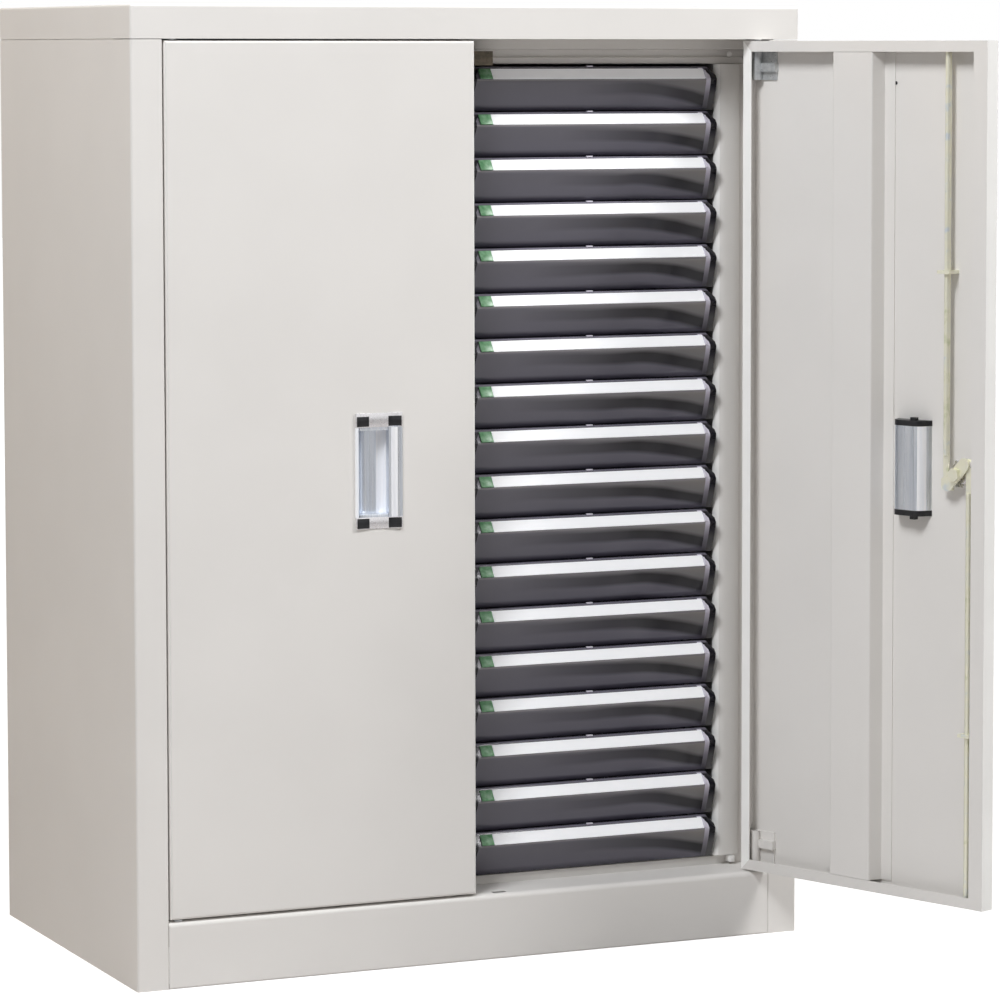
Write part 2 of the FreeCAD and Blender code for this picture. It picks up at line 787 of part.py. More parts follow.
keep("door_shell_left", mirrored(door_shell(False)))
keep("door_channel_left", mirrored(door_channel()))
keep("pull_left", *[mirrored(solid) for solid in pull()])
brackets = [hinge_bracket(door_z0 + DOOR_BEND, 1), hinge_bracket(door_z1 - DOOR_BEND, -1)]
keep("door_fittings_left", *[mirrored(solid) for solid in brackets])

keep("door_shell_right", opened(door_shell(True)))
keep("door_channel_right", opened(door_channel()))
keep("pull_right", *[opened(solid) for solid in pull()])
guides = [rod_guide(upper_rod_x, UPPER_GUIDE_Z), rod_guide(lower_rod_x, LOWER_GUIDE_Z)]
keep("door_fittings_right", *[opened(solid) for solid in brackets + guides])
keep("lock_cylinder", opened(lock_cylinder()))
keep("lock_cam", opened(lock_cam()))
keep("lock_rod_upper", opened(lock_rod(1)))
keep("lock_rod_lower", opened(lock_rod(-1)))

for row in range(ROWS):
    number = ROWS - row
    keep("drawer_left_%02d" % number, *drawer(row, -column_x))
    keep("drawer_right_%02d" % number, *drawer(row, column_x))

os.makedirs("parts", exist_ok=True)
for name, shape in pieces.items():
    shape.exportStep("parts/%s.step" % name)
    print(name, len(shape.Solids), "valid" if shape.isValid() else "INVALID", round(shape.Volume))

lift = 2 * crank_lift
print("drawer pitch", round(pitch, 3), "front width", front_w, "front height", round(front_h, 3))
print("rod lift", round(lift, 3), "pin at", pin_x, pin_y, "lock at", lock_x)
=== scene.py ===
# %% [markdown]
# # A steel cabinet of shallow drawers
#
# The cabinet is a powder-coated steel casing with two doors. Behind them hang two columns of smoked plastic
# drawers, each with a white label in a sloping holder. The solids come from the CAD model. This file gives
# them their finishes, and replaces the drawers and the pulls by finer pieces.
#
# The first cell loads the CAD model and defines how to find the box of one of its parts, so that the dressed
# cabinet can be held against it.

# %% Load the CAD model
import math

import bpy
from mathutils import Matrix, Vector


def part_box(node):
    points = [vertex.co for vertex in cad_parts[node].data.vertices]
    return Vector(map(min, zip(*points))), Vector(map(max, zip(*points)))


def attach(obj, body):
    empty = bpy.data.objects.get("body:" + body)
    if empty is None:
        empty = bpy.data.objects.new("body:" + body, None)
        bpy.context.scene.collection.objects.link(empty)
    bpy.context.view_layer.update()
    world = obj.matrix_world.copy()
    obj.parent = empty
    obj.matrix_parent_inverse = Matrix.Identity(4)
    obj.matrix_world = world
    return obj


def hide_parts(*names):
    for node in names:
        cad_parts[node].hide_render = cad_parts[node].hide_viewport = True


MM = 0.001
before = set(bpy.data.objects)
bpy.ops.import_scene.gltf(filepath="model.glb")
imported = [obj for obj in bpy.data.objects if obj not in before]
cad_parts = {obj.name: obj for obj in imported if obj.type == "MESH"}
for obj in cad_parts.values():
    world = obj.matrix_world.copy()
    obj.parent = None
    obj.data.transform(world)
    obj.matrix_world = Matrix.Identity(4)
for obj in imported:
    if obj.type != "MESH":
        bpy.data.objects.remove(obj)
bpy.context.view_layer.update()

# %% [markdown]
# ## Sizes shared with the CAD model
#
# The new pieces have to sit where their solids sit. The few sizes that they need are written here in
# millimetres, with the values of the CAD source. X runs to the right, Y to the back and Z up.

# %% Sizes
# The face of the closed doors, and the front of the frame round the drawers
FRONT_Y, FRAME_Y = -195.0, -145.0
# How far the closed doors' free edges stand from the middle, and how thick the doors are
DOOR_FREE_X, DOOR_T = 1.0, 16.0
# The right-hand hinge pin, and how far that door stands open, in degrees
PIN_X, PIN_Y, RIGHT_OPEN = 289.9, -189.0, 110.4
# The bank of drawers: its rows, the height of its foot and its own height
ROWS, BANK_Z, BANK_H = 18, 70.0, 755.5
PITCH = BANK_H / ROWS
# The middle of the right-hand column of drawers, and of the right-hand pull
COLUMN_X = 134.0
PULL_X, PULL_Z = 96.5, 456.0


def row_base(row):
    """The height of a drawer's underside; row 0 is the lowest."""
    return BANK_Z + row * PITCH


print("pitch", round(PITCH, 3), "underside of the top row", round(row_base(ROWS - 1), 1))

# %% [markdown]
# ## Materials
#
# Each finish is made from noise on Object coordinates, with its scale worked out from the real size of the
# grain. Colours are written as sRGB hex and turned to linear by one function, because a shader works in
# linear light. Another adds a node with its settings and its links.

# %% Colours
def linear(code):
    """An sRGB hex code as a linear colour with alpha."""
    parts = [int(code[i : i + 2], 16) / 255 for i in (1, 3, 5)]
    return [c / 12.92 if c <= 0.04045 else ((c + 0.055) / 1.055) ** 2.4 for c in parts] + [1.0]


print("half grey in linear light", [round(c, 3) for c in linear("#808080")])


# %% Nodes
def add(tree, kind, links=(), **settings):
    """Adds a node. Settings are properties or sockets; links pair an input with a number, output or node."""
    node = tree.nodes.new(kind)
    for key, value in settings.items():
        if hasattr(node, key):
            setattr(node, key, value)
        else:
            node.inputs[key.replace("_", " ")].default_value = value
    for socket, source in links:
        if isinstance(source, (int, float)):
            node.inputs[socket].default_value = source
        else:
            # A node stands for its first output
            output = source.outputs[0] if isinstance(source, bpy.types.Node) else source
            tree.links.new(output, node.inputs[socket])
    return node


def finish_of(name, code, **settings):
    """A new material with a Principled shader in this colour; returns material, node tree and shader."""
    material = bpy.data.materials.new(name)
    material.use_nodes = True
    tree = material.node_tree
    shader = tree.nodes["Principled BSDF"]
    shader.inputs["Base Color"].default_value = linear(code)
    for key, value in settings.items():
        shader.inputs[key.replace("_", " ")].default_value = value
    return material, tree, shader


def fill_ramp(ramp, stops):
    """Puts the stops on a colour ramp; each is a position and a linear colour, and the positions rise."""
    elements = ramp.color_ramp.elements
    for number, (position, colour) in enumerate(stops):
        stop = elements[number] if number < 2 else elements.new(position)
        stop.position = position
        stop.color = colour


# %% Patterns
# Most of the noise lies within the first two limits, and nearly all of it within the others
NOISE_LOW, NOISE_HIGH = 0.35, 0.65
NOISE_LEAST, NOISE_MOST = 0.3, 0.7


def grain(tree, size_mm, detail=2.0, stretch=(1, 1, 1)):
    """Noise whose spots are size_mm across, stretched along the axes."""
    place = add(tree, "ShaderNodeTexCoord")
    scale = [1 / (size_mm * MM) / s for s in stretch]
    turned = add(tree, "ShaderNodeMapping", [("Vector", place.outputs["Object"])], Scale=scale)
    return add(tree, "ShaderNodeTexNoise", [("Vector", turned)], Scale=1.0, Detail=detail)


def tinted(tree, shader, noise, dark, light):
    """Colours the surface between two hex codes, following the noise."""
    ramp = add(tree, "ShaderNodeValToRGB", [("Fac", noise.outputs["Fac"])])
    fill_ramp(ramp, ((NOISE_LOW, linear(dark)), (NOISE_HIGH, linear(light))))
    tree.links.new(ramp.outputs["Color"], shader.inputs["Base Color"])


def roughened(tree, shader, noise, low, high):
    """Lets the roughness wander between two values, following the noise."""
    span = add(
        tree, "ShaderNodeMapRange", [("Value", noise.outputs["Fac"])],
        From_Min=NOISE_LEAST, From_Max=NOISE_MOST, To_Min=low, To_Max=high,
    )
    tree.links.new(span.outputs["Result"], shader.inputs["Roughness"])


def raised(tree, shader, noise, height_mm, strength):
    """Raises the surface by up to height_mm, following the noise."""
    bump = add(
        tree, "ShaderNodeBump", [("Height", noise.outputs["Fac"])], Distance=height_mm * MM, Strength=strength
    )
    tree.links.new(bump.outputs["Normal"], shader.inputs["Normal"])


# %% [markdown]
# **Powder-coated steel.** Paint powder is sprayed on and baked. It flows into a fine orange peel about a
# millimetre across, a few hundredths deep, with a satin sheen. The colour is a warm light grey.

# %% Powder-coated steel
PEEL_MM, PEEL_HEIGHT_MM = 1.1, 0.02

powder, tree, shader = finish_of("powder_coated_steel_satin", "#E3E0DC", Roughness=0.45, IOR=1.5)
peel = grain(tree, PEEL_MM, detail=3.0)
tinted(tree, shader, grain(tree, 90.0, detail=1.0), "#E2DFDB", "#E4E1DD")
roughened(tree, shader, peel, 0.42, 0.5)
raised(tree, shader, peel, PEEL_HEIGHT_MM, strength=0.5)

# A paler copy of the powder coat is a painted highlight, put on the lips of the doors and on the posts' bend
powder_painted_highlight, tree, shader = finish_of("powder_coated_steel_painted_highlight", "#FAF9F6", Roughness=0.42, IOR=1.5)
tinted(tree, shader, grain(tree, 60.0, detail=1.0), "#F8F7F4", "#FCFBF8")
raised(tree, shader, grain(tree, PEEL_MM, detail=3.0), PEEL_HEIGHT_MM, strength=0.5)
print("orange peel", PEEL_MM, "mm across and", PEEL_HEIGHT_MM, "mm high")

# %% [markdown]
# ** Smoked polystyrene.** The drawers are moulded from see-through polystyrene with a smoky tint, glossy from
# the polished mould. Thick edges look nearly black, because light travels a long way inside them, and thin
# walls let the inside of the drawer show through as a dim grey. What shows through lies in bands along each
# row, with the shadow of the nose across it and the reflection of the label below. Real transparency would
# need all that lies inside, so the bands are painted light and shade: a colour that changes with a point's
# height in its row.

# %% Where a point lies in its row
def in_row(tree):
    """Where a point lies in its row: across from -1 to 1, and its height in mm above the underside."""
    place = add(tree, "ShaderNodeTexCoord")
    parts = add(tree, "ShaderNodeSeparateXYZ", [("Vector", place.outputs["Object"])])
    sums = {
        "X": (
            ("MULTIPLY_ADD", 1 / MM, 2 * COLUMN_X),
            ("MODULO", 2 * COLUMN_X),
            ("MULTIPLY_ADD", 1 / COLUMN_X, -1.0),
        ),
        "Z": (("MULTIPLY_ADD", 1 / MM, -BANK_Z), ("MODULO", PITCH)),
    }
    found = []
    for axis, steps in sums.items():
        value = parts.outputs[axis]
        for operation, *numbers in steps:
            value = add(tree, "ShaderNodeMath", [(0, value), *enumerate(numbers, 1)], operation=operation)
        found.append(value)
    return found


def banded(tree, height, stops):
    """A colour that changes with a height in mm; stops pairs a height with a hex code."""
    share = add(tree, "ShaderNodeMath", [(0, height), (1, 1 / PITCH)], operation="MULTIPLY")
    ramp = add(tree, "ShaderNodeValToRGB", [("Fac", share)])
    fill_ramp(ramp, [(level / PITCH, linear(code)) for level, code in stops])
    return ramp


print("a column is", 2 * COLUMN_X, "mm wide and a row", round(PITCH, 2), "mm high")

# %% Smoked polystyrene: the painted bands of shadow and reflection
POLYSTYRENE_IOR = 1.59
# Towards the right the painted bands sink, following the painted shadow of the nose, which curves lower there
SINK_FROM, SINK_POWER, SINK_MM = 0.3, 1.8, 31.0
# Slow clouds lift the painted bands here and lower them there, because no two fronts look quite the same
CLOUD_MM, SWAY_MM = 45.0, 9.0

smoked, tree, shader = finish_of(
    "smoked_polystyrene_moulded", "#67656F",
    Roughness=0.1, IOR=POLYSTYRENE_IOR, Transmission_Weight=0.1, Specular_IOR_Level=0.3,
)
across, above = in_row(tree)
level = across
for operation, number in (("ADD", -SINK_FROM), ("MAXIMUM", 0.0), ("POWER", SINK_POWER)):
    level = add(tree, "ShaderNodeMath", [(0, level), (1, number)], operation=operation)
level = add(tree, "ShaderNodeMath", [(0, level), (1, SINK_MM), (2, above)], operation="MULTIPLY_ADD")
clouds = grain(tree, CLOUD_MM, stretch=(2.5, 1, 1))
level = add(tree, "ShaderNodeMath", [(0, level), (1, -SWAY_MM / 2)], operation="ADD")
level = add(tree, "ShaderNodeMath", [(0, clouds), (1, SWAY_MM), (2, level)], operation="MULTIPLY_ADD")
painted_light_bands = banded(
    tree, level,
    [(0.0, "#34323D"), (3.0, "#4A4854"), (6.5, "#64626F"), (13.0, "#6B6975"), (17.0, "#2D2C32"),
     (24.0, "#28272C"), (28.0, "#7D7B7D"), (38.0, "#8C8885")],
)
print("at the right-hand end the bands lie", round(SINK_MM * (1 - SINK_FROM) ** SINK_POWER, 1), "mm lower")

# %% Smoked polystyrene: the painted haze towards the left
# The painted haze is darker just above the floor of the drawer, as painted shade. The painted bands clear out
# of it between these places across, and further to the left in the middle rows than in the highest and the
# lowest ones
CLEAR_FROM, CLEAR_TO, CLEAR_SHIFT = -0.65, 0.35, 0.6
MIDDLE_Z, REACH_Z = 430.0, 400.0
# The Mix node has sockets for each kind of value; these are the numbers of those for colours
MIX_SHARE, MIX_FIRST, MIX_SECOND, MIX_RESULT = 0, 6, 7, 2

painted_shade_haze = banded(tree, above, [(0.0, "#3D3B46"), (2.2, "#4B4955"), (6.0, "#6B6974"), (30.0, "#6F6D75")])
place = add(tree, "ShaderNodeTexCoord")
parts = add(tree, "ShaderNodeSeparateXYZ", [("Vector", place.outputs["Object"])])
outer = add(
    tree, "ShaderNodeMath", [(0, parts.outputs["Z"]), (1, 1 / (REACH_Z * MM)), (2, -MIDDLE_Z / REACH_Z)],
    operation="MULTIPLY_ADD",
)
outer = add(tree, "ShaderNodeMath", [(0, outer), (1, outer)], operation="MULTIPLY")
shifted = add(tree, "ShaderNodeMath", [(0, outer), (1, -CLEAR_SHIFT), (2, across)], operation="MULTIPLY_ADD")
clear = add(
    tree, "ShaderNodeMapRange", [("Value", shifted)],
    From_Min=CLEAR_FROM, From_Max=CLEAR_TO, To_Min=0.0, To_Max=1.0,
)
blend = add(
    tree, "ShaderNodeMix", [(MIX_SHARE, clear), (MIX_FIRST, painted_shade_haze), (MIX_SECOND, painted_light_bands)], data_type="RGBA"
)
tree.links.new(blend.outputs[MIX_RESULT], shader.inputs["Base Color"])
raised(tree, shader, grain(tree, 14.0, detail=1.0, stretch=(5, 1, 1)), height_mm=0.05, strength=0.4)
print(smoked.name, "has", len(tree.nodes), "nodes")

# %% The other forms of the smoked plastic
# The walls of the tray are thin, so more light passes through them
smoked_tray, tree, shader = finish_of(
    "smoked_polystyrene_tray", "#5F5D66", Roughness=0.15, IOR=POLYSTYRENE_IOR, Transmission_Weight=0.35
)
tinted(tree, shader, grain(tree, 30.0, stretch=(1, 3, 1)), "#58565F", "#67656E")

# The ends of the front are thick, and nearly black between their foot and their top
smoked_edge, tree, shader = finish_of(
    "smoked_polystyrene_thick_edge", "#17161D", Roughness=0.12, IOR=POLYSTYRENE_IOR, Specular_IOR_Level=0.3
)
thickness = banded(
    tree, in_row(tree)[1],
    [(0.0, "#5A5A5C"), (14.0, "#545456"), (21.0, "#2E2D34"), (25.0, "#17161E"), (38.5, "#17161E"),
     (40.0, "#6A6773")],
)
tree.links.new(thickness.outputs["Color"], shader.inputs["Base Color"])

# Ground plastic scatters the light and looks pale; it is also painted palest at its top, where the lamps
# light it, as painted light
smoked_pale, tree, shader = finish_of(
    "smoked_polystyrene_ground_painted_light", "#A5A0B0", Roughness=0.3, IOR=POLYSTYRENE_IOR
)
ground_and_painted_light = banded(
    tree, in_row(tree)[1],
    [(0.0, "#4A4852"), (9.0, "#625F69"), (16.0, "#7F7C87"), (24.0, "#B3AEBD"), (32.0, "#D6D2DE")],
)
tree.links.new(ground_and_painted_light.outputs["Color"], shader.inputs["Base Color"])
raised(tree, shader, grain(tree, 3.0), height_mm=0.1, strength=0.5)

# The slope round the label is thin and shows a plain dim grey; the lip under it is paler, a painted highlight
smoked_rim, tree, shader = finish_of("smoked_polystyrene_rim", "#5A5763", Roughness=0.2, IOR=POLYSTYRENE_IOR)
tinted(tree, shader, grain(tree, 25.0, stretch=(4, 1, 1)), "#514E59", "#65626D")

smoked_lip_painted_highlight, tree, shader = finish_of("smoked_polystyrene_lip_painted_highlight", "#7C797C", Roughness=0.2, IOR=POLYSTYRENE_IOR)
tinted(tree, shader, grain(tree, 20.0, detail=1.0, stretch=(5, 1, 1)), "#716E72", "#868386")
for form in (smoked_tray, smoked_edge, smoked_pale, smoked_rim, smoked_lip_painted_highlight):
    print(form.name, "has", len(form.node_tree.nodes), "nodes")

# %% [markdown]
# **Label card and index tab.** Uncoated white card, with fibres a few millimetres long that make it faintly
# uneven, and a small tab moulded in green polypropylene.

# %% Card and tab
# Real fibres are far thinner than this, and are drawn as coarse as a picture can show
FIBRE_MM = 0.9

card_white, tree, shader = finish_of("label_card_uncoated", "#FDFDFE", Roughness=0.5)
fibres = grain(tree, FIBRE_MM, detail=3.0, stretch=(3, 1, 1))
tinted(tree, shader, fibres, "#FBFBFD", "#FFFFFF")
raised(tree, shader, fibres, height_mm=0.02, strength=0.3)
# The card glows faintly bluish: painted light that makes it look more brightly lit
shader.inputs["Emission Color"].default_value = linear("#F6F8FF")
shader.inputs["Emission Strength"].default_value = 0.09

tab_green, tree, shader = finish_of("green_polypropylene_moulded", "#4FA35B", Roughness=0.35)
tinted(tree, shader, grain(tree, 5.0), "#528E5D", "#80AE87")
print("card fibres", FIBRE_MM, "mm thick")

# %% [markdown]
# **Anodised aluminium.** The pulls are extruded, so fine die lines run along them. Anodising gives a bright
# satin skin with a cool cast.

# %% Anodised aluminium
# Die lines are finer than a picture shows, so they are drawn half a millimetre apart
DIE_LINE_MM = 0.5
ALONG_PULL = (1, 1, 300)
STREAK = (1, 1, 40)

anodised, tree, shader = finish_of("anodised_aluminium_extruded", "#DFE4EC", Metallic=1.0, Roughness=0.3)
lines = grain(tree, DIE_LINE_MM, stretch=ALONG_PULL)
tinted(tree, shader, grain(tree, 3.0, stretch=STREAK), "#D8DEE8", "#E8ECF2")
roughened(tree, shader, lines, 0.24, 0.36)
raised(tree, shader, lines, height_mm=0.01, strength=0.3)

# Where the section turns towards the lamps a whiter copy of the aluminium is a painted highlight
anodised_painted_highlight, tree, shader = finish_of(
    "anodised_aluminium_painted_highlight", "#F8FAFD", Metallic=0.25, Roughness=0.45
)
tinted(tree, shader, grain(tree, 3.0, stretch=STREAK), "#F4F6FB", "#FDFDFF")
raised(tree, shader, grain(tree, DIE_LINE_MM, stretch=ALONG_PULL), height_mm=0.01, strength=0.3)
print("die lines", DIE_LINE_MM, "mm apart")

# %% [markdown]
# **Plated metals and black plastic.** The end caps of the pulls show a chromed casting in front and black
# ABS behind. The lock's face is chromed too. The crank and the rods are zinc-plated steel with a pale yellow
# passivation that drifts between cream, green and blue. The hinge pins, the barrels on the left-hand door
# and the upper bracket on the right-hand one have the plain bluish passivation.

# %% Black plastic, chrome and zinc
black_abs, tree, shader = finish_of("black_abs_moulded", "#141417", Roughness=0.3)
tinted(tree, shader, grain(tree, 2.0), "#101013", "#1A1A1E")

chrome, tree, shader = finish_of("chrome_plated_casting", "#E4E2E4", Metallic=1.0, Roughness=0.1)
roughened(tree, shader, grain(tree, 2.0, detail=3.0), 0.24, 0.32)

zinc, tree, shader = finish_of("yellow_zinc_plated_steel", "#E9E7D2", Metallic=0.5, Roughness=0.34)
drift = grain(tree, 14.0, detail=3.0)
ramp = add(tree, "ShaderNodeValToRGB", [("Fac", drift.outputs["Fac"])])
DRIFT = (
    (0.0, "#E2E2CE"), (0.3, "#DDE4E6"), (0.42, "#EFEEDC"), (0.6, "#F3F0DA"), (0.78, "#D3D8B2"),
    (1.0, "#E2E2CE"),
)
fill_ramp(ramp, [(position, linear(code)) for position, code in DRIFT])
tree.links.new(ramp.outputs["Color"], shader.inputs["Base Color"])
roughened(tree, shader, grain(tree, 1.5, detail=3.0), 0.28, 0.42)

bright_zinc, tree, shader = finish_of("blue_zinc_plated_steel", "#C9CBCC", Metallic=0.6, Roughness=0.32)
tinted(tree, shader, grain(tree, 5.0, detail=3.0), "#BEC1C3", "#D2D4D5")
roughened(tree, shader, grain(tree, 1.5, detail=3.0), 0.26, 0.4)
print("colours of the yellow zinc", len(DRIFT))

# %% [markdown]
# **Brown catch.** The magnetic catch is moulded in dark brown ABS, with a fine matt grain.

# %% Brown plastic
brown_abs, tree, shader = finish_of("brown_abs_moulded", "#6E6452", Roughness=0.45)
tinted(tree, shader, grain(tree, 2.5, detail=3.0), "#453C2E", "#5C5242")
print("materials", len(bpy.data.materials))

# %% [markdown]
# ## Finishes on the CAD pieces
#
# Each CAD piece that stays keeps its own mesh and gets its finish through its material slot. Those that hold
# more than one finish come later, and so do the drawers and the pulls, which are made anew.

# %% Dress the CAD pieces
def coat(obj, material):
    """Gives the whole piece one finish."""
    obj.data.materials.clear()
    obj.data.materials.append(material)


by_finish = {
    powder: ["side_panel_left", "side_panel_right", "top_cap", "back_panel", "plinth_rail", "bottom_pan",
             "base_beam", "drawer_header", "bay_walls", "drawer_runners", "door_channel_left",
             "door_channel_right"],
    bright_zinc: ["hinge_pins"],
    zinc: ["lock_cam", "lock_rod_upper", "lock_rod_lower"],
    chrome: ["lock_cylinder"],
    brown_abs: ["magnetic_catch"],
}
for material, nodes in by_finish.items():
    for node in nodes:
        coat(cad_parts[node], material)
print("dressed", sum(len(nodes) for nodes in by_finish.values()), "pieces")

# %% [markdown]
# ## A drawer
#
# The front of a drawer is one moulded wall: a flange on top, a sloping holder for the label, a nose, and a
# wall that leans back to the floor. By hand it is a row of edges extruded along that path and widened or
# narrowed at each step, so that its corners are cut off, then given a thickness. The row starts from a single
# vertex, and has a vertex wherever the finish changes, because the ends are thicker and look darker.

# %% Selecting and drawing out
def deselect():
    """Leaves nothing selected, because an operator acts on all that is."""
    bpy.ops.object.select_all(action="DESELECT")


def pick(obj):
    """Makes obj the only selected and the active object."""
    deselect()
    obj.select_set(True)
    bpy.context.view_layer.objects.active = obj


def first_vertex(name, point):
    """A new object in edit mode that holds one vertex at this point, in millimetres."""
    deselect()
    bpy.ops.mesh.primitive_plane_add(size=MM, location=(0, 0, 0))
    obj = bpy.context.object
    obj.name = name
    bpy.ops.object.mode_set(mode="EDIT")
    bpy.ops.mesh.select_all(action="SELECT")
    bpy.ops.mesh.merge(type="CENTER")
    bpy.ops.transform.translate(value=Vector(point) * MM)
    return obj


def draw_out(step):
    """Extrudes whatever is selected by this step in millimetres."""
    bpy.ops.mesh.extrude_region_move(TRANSFORM_OT_translate={"value": Vector(step) * MM})


# %% Front wall of a drawer, as a sheet
NOSE_Y, NOSE_Z = -160.0, 29.4
FRONT_PATH = [
    # half width, Y, Z above the drawer's underside
    (120.8, -146.5, 41.0),
    (121.2, -151.0, 41.0),
    (122.0, -151.8, 40.0),
    (127.8, -157.2, 33.0),
    (128.0, NOSE_Y, NOSE_Z),
    (128.0, NOSE_Y, 28.0),
    (128.2, -159.0, 25.4),
    (128.7, -156.5, 20.0),
    (129.1, -153.3, 13.0),
    (129.3, -150.6, 7.0),
    (129.4, -147.4, 0.1),
]
# How far the thick plastic reaches from the right-hand and from the left-hand end, and how far the ground
# plastic beside it reaches from the right-hand end
END_BAND, LEFT_END_BAND, GROUND_BAND = 6.0, 9.5, 10.5


def front_wall(name):
    """The front wall as a sheet: a row of edges along X, drawn out along the path."""
    half, y, z = FRONT_PATH[0]
    stops = (-half, END_BAND - half, LEFT_END_BAND - half, half - GROUND_BAND, half - END_BAND, half)
    obj = first_vertex(name, (stops[0], y, z))
    for before, after in zip(stops, stops[1:]):
        draw_out((after - before, 0, 0))
    bpy.ops.mesh.select_all(action="SELECT")
    for before, after in zip(FRONT_PATH, FRONT_PATH[1:]):
        draw_out((0, after[1] - before[1], after[2] - before[2]))
        bpy.ops.transform.resize(value=(after[0] / before[0], 1, 1), center_override=(0, 0, 0))
    bpy.ops.mesh.select_all(action="SELECT")
    bpy.ops.mesh.normals_make_consistent(inside=False)
    bpy.ops.object.mode_set(mode="OBJECT")
    return obj


def facing_front(obj):
    """Turns an open sheet so that most of its area faces the front."""
    if sum(face.normal.y * face.area for face in obj.data.polygons) > 0:
        pick(obj)
        bpy.ops.object.mode_set(mode="EDIT")
        bpy.ops.mesh.select_all(action="SELECT")
        bpy.ops.mesh.flip_normals()
        bpy.ops.object.mode_set(mode="OBJECT")
    return obj


drawer_front = facing_front(front_wall("drawer_front"))
print("faces of the sheet", len(drawer_front.data.polygons))

# %% The front wall's thickness and soft edges
WALL = 2.4
# Edges sharper than the first angle are rounded, and those blunter than the second are shaded smooth
ROUND_FROM, SMOOTH_TO = math.radians(30), math.radians(40)


def modified(obj, kind, **settings):
    """Adds one modifier, sets it and applies it."""
    pick(obj)
    modifier = obj.modifiers.new(kind.lower(), kind)
    for key, value in settings.items():
        setattr(modifier, key, value)
    bpy.ops.object.modifier_apply(modifier=modifier.name)
    return obj


def softened(obj, width, segments=2):
    """Rounds the sharp edges and shades the rest smooth, as a mould or a press leaves them."""
    modified(obj, "BEVEL", width=width * MM, segments=segments, limit_method="ANGLE", angle_limit=ROUND_FROM)
    bpy.ops.object.shade_smooth_by_angle(angle=SMOOTH_TO)
    return obj


modified(drawer_front, "SOLIDIFY", thickness=WALL * MM, offset=-1, use_even_offset=True)
softened(drawer_front, 0.5)
print("front wall", [round(v / MM, 1) for v in drawer_front.dimensions])

# %% [markdown]
# The tray behind the front is a thin box without a lid. Its cross-section is drawn once, filled and pulled
# out to the width. The faces on top and at the front are deleted, the upper edges of the sides are drawn
# outwards as the rims that hang on the runners, and the sheet gets its thickness last.

# %% Solid bars from an outline
DOUBLES_MM = 0.01


def outlined_bar(name, points, along):
    """A solid with this outline (3-D points), pulled out by the vector along."""
    obj = first_vertex(name, points[0])
    for before, after in zip(points, points[1:]):
        draw_out(Vector(after) - Vector(before))
    bpy.ops.mesh.select_all(action="SELECT")
    bpy.ops.mesh.edge_face_add()
    draw_out(along)
    bpy.ops.mesh.select_all(action="SELECT")
    bpy.ops.mesh.remove_doubles(threshold=DOUBLES_MM * MM)
    bpy.ops.mesh.normals_make_consistent(inside=False)
    bpy.ops.object.mode_set(mode="OBJECT")
    return obj


# %% Tray
# Half its width, the height of its rims, Y of its back, a rim's width and the wall
TRAY_HALF, TRAY_TOP, TRAY_BACK, RIM_W, TRAY_WALL = 121.0, 34.0, 185.0, 6.5, 2.0
TRAY_FLOOR = 0.2
# Y and Z of the tray's side, from its front foot round to its back foot
TRAY_SIDE = [
    (-146.0, TRAY_FLOOR), (-157.6, 25.0), (-151.5, TRAY_TOP), (TRAY_BACK, TRAY_TOP), (TRAY_BACK, TRAY_FLOOR)
]
# A face belongs to the lid or the front when its normal leans this far up or forwards
LEAN = 0.3
# An edge belongs to the top of a side when its ends lie this near to it
NEAR_MM = 0.1


def open_up(obj):
    """Deletes the faces on top and at the front, and stays in edit mode."""
    pick(obj)
    bpy.ops.object.mode_set(mode="EDIT")
    bpy.ops.mesh.select_all(action="DESELECT")
    bpy.ops.object.mode_set(mode="OBJECT")
    for face in obj.data.polygons:
        face.select = face.normal.z > LEAN or face.normal.y < -LEAN
    bpy.ops.object.mode_set(mode="EDIT")
    bpy.ops.mesh.delete(type="FACE")


def tray(name):
    """The tray without its front wall, with the rims that hang on the runners."""
    obj = outlined_bar(name, [(-TRAY_HALF, y, z) for y, z in TRAY_SIDE], (2 * TRAY_HALF, 0, 0))
    open_up(obj)
    for sign in (-1, 1):
        bpy.ops.mesh.select_all(action="DESELECT")
        bpy.ops.object.mode_set(mode="OBJECT")
        for edge in obj.data.edges:
            ends = [obj.data.vertices[v].co / MM for v in edge.vertices]
            edge.select = all(
                abs(e.x - sign * TRAY_HALF) < NEAR_MM and abs(e.z - TRAY_TOP) < NEAR_MM for e in ends
            )
        bpy.ops.object.mode_set(mode="EDIT")
        bpy.ops.mesh.select_mode(type="EDGE")
        draw_out((sign * RIM_W, 0, 0))
    bpy.ops.mesh.select_mode(type="VERT")
    bpy.ops.object.mode_set(mode="OBJECT")
    modified(obj, "SOLIDIFY", thickness=TRAY_WALL * MM, offset=-1, use_even_offset=True)
    return softened(obj, 0.4, segments=1)


drawer_tray = tray("drawer_tray")
print("tray", [round(v / MM, 1) for v in drawer_tray.dimensions])

# %% [markdown]
# The card lies on the slope between the rim and the nose. At its left end sits a small green index tab, and
# at its right end the holder closes with a clear block. A nub stands in the middle of the rim.

# %% Card, index tab and the holder's end
# How far the label's slope goes back and up, from the nose to the rim
SLOPE_RUN, SLOPE_RISE = 8.2, 10.6
UP_SLOPE = Vector((0, SLOPE_RUN, SLOPE_RISE)).normalized()
OFF_SLOPE = Vector((0, -SLOPE_RISE, SLOPE_RUN)).normalized()
SLOPE_FOOT = Vector((0, NOSE_Y, NOSE_Z))


def on_slope(name, x0, x1, low, high, thick):
    """A bar on the label's slope, from x0 to x1, from low to high up the slope and thick off it."""
    corners = [
        SLOPE_FOOT + UP_SLOPE * up + OFF_SLOPE * off + Vector((x0, 0, 0))
        for up, off in ((low, 0), (high, 0), (high, thick), (low, thick))
    ]
    return outlined_bar(name, corners, (x1 - x0, 0, 0))


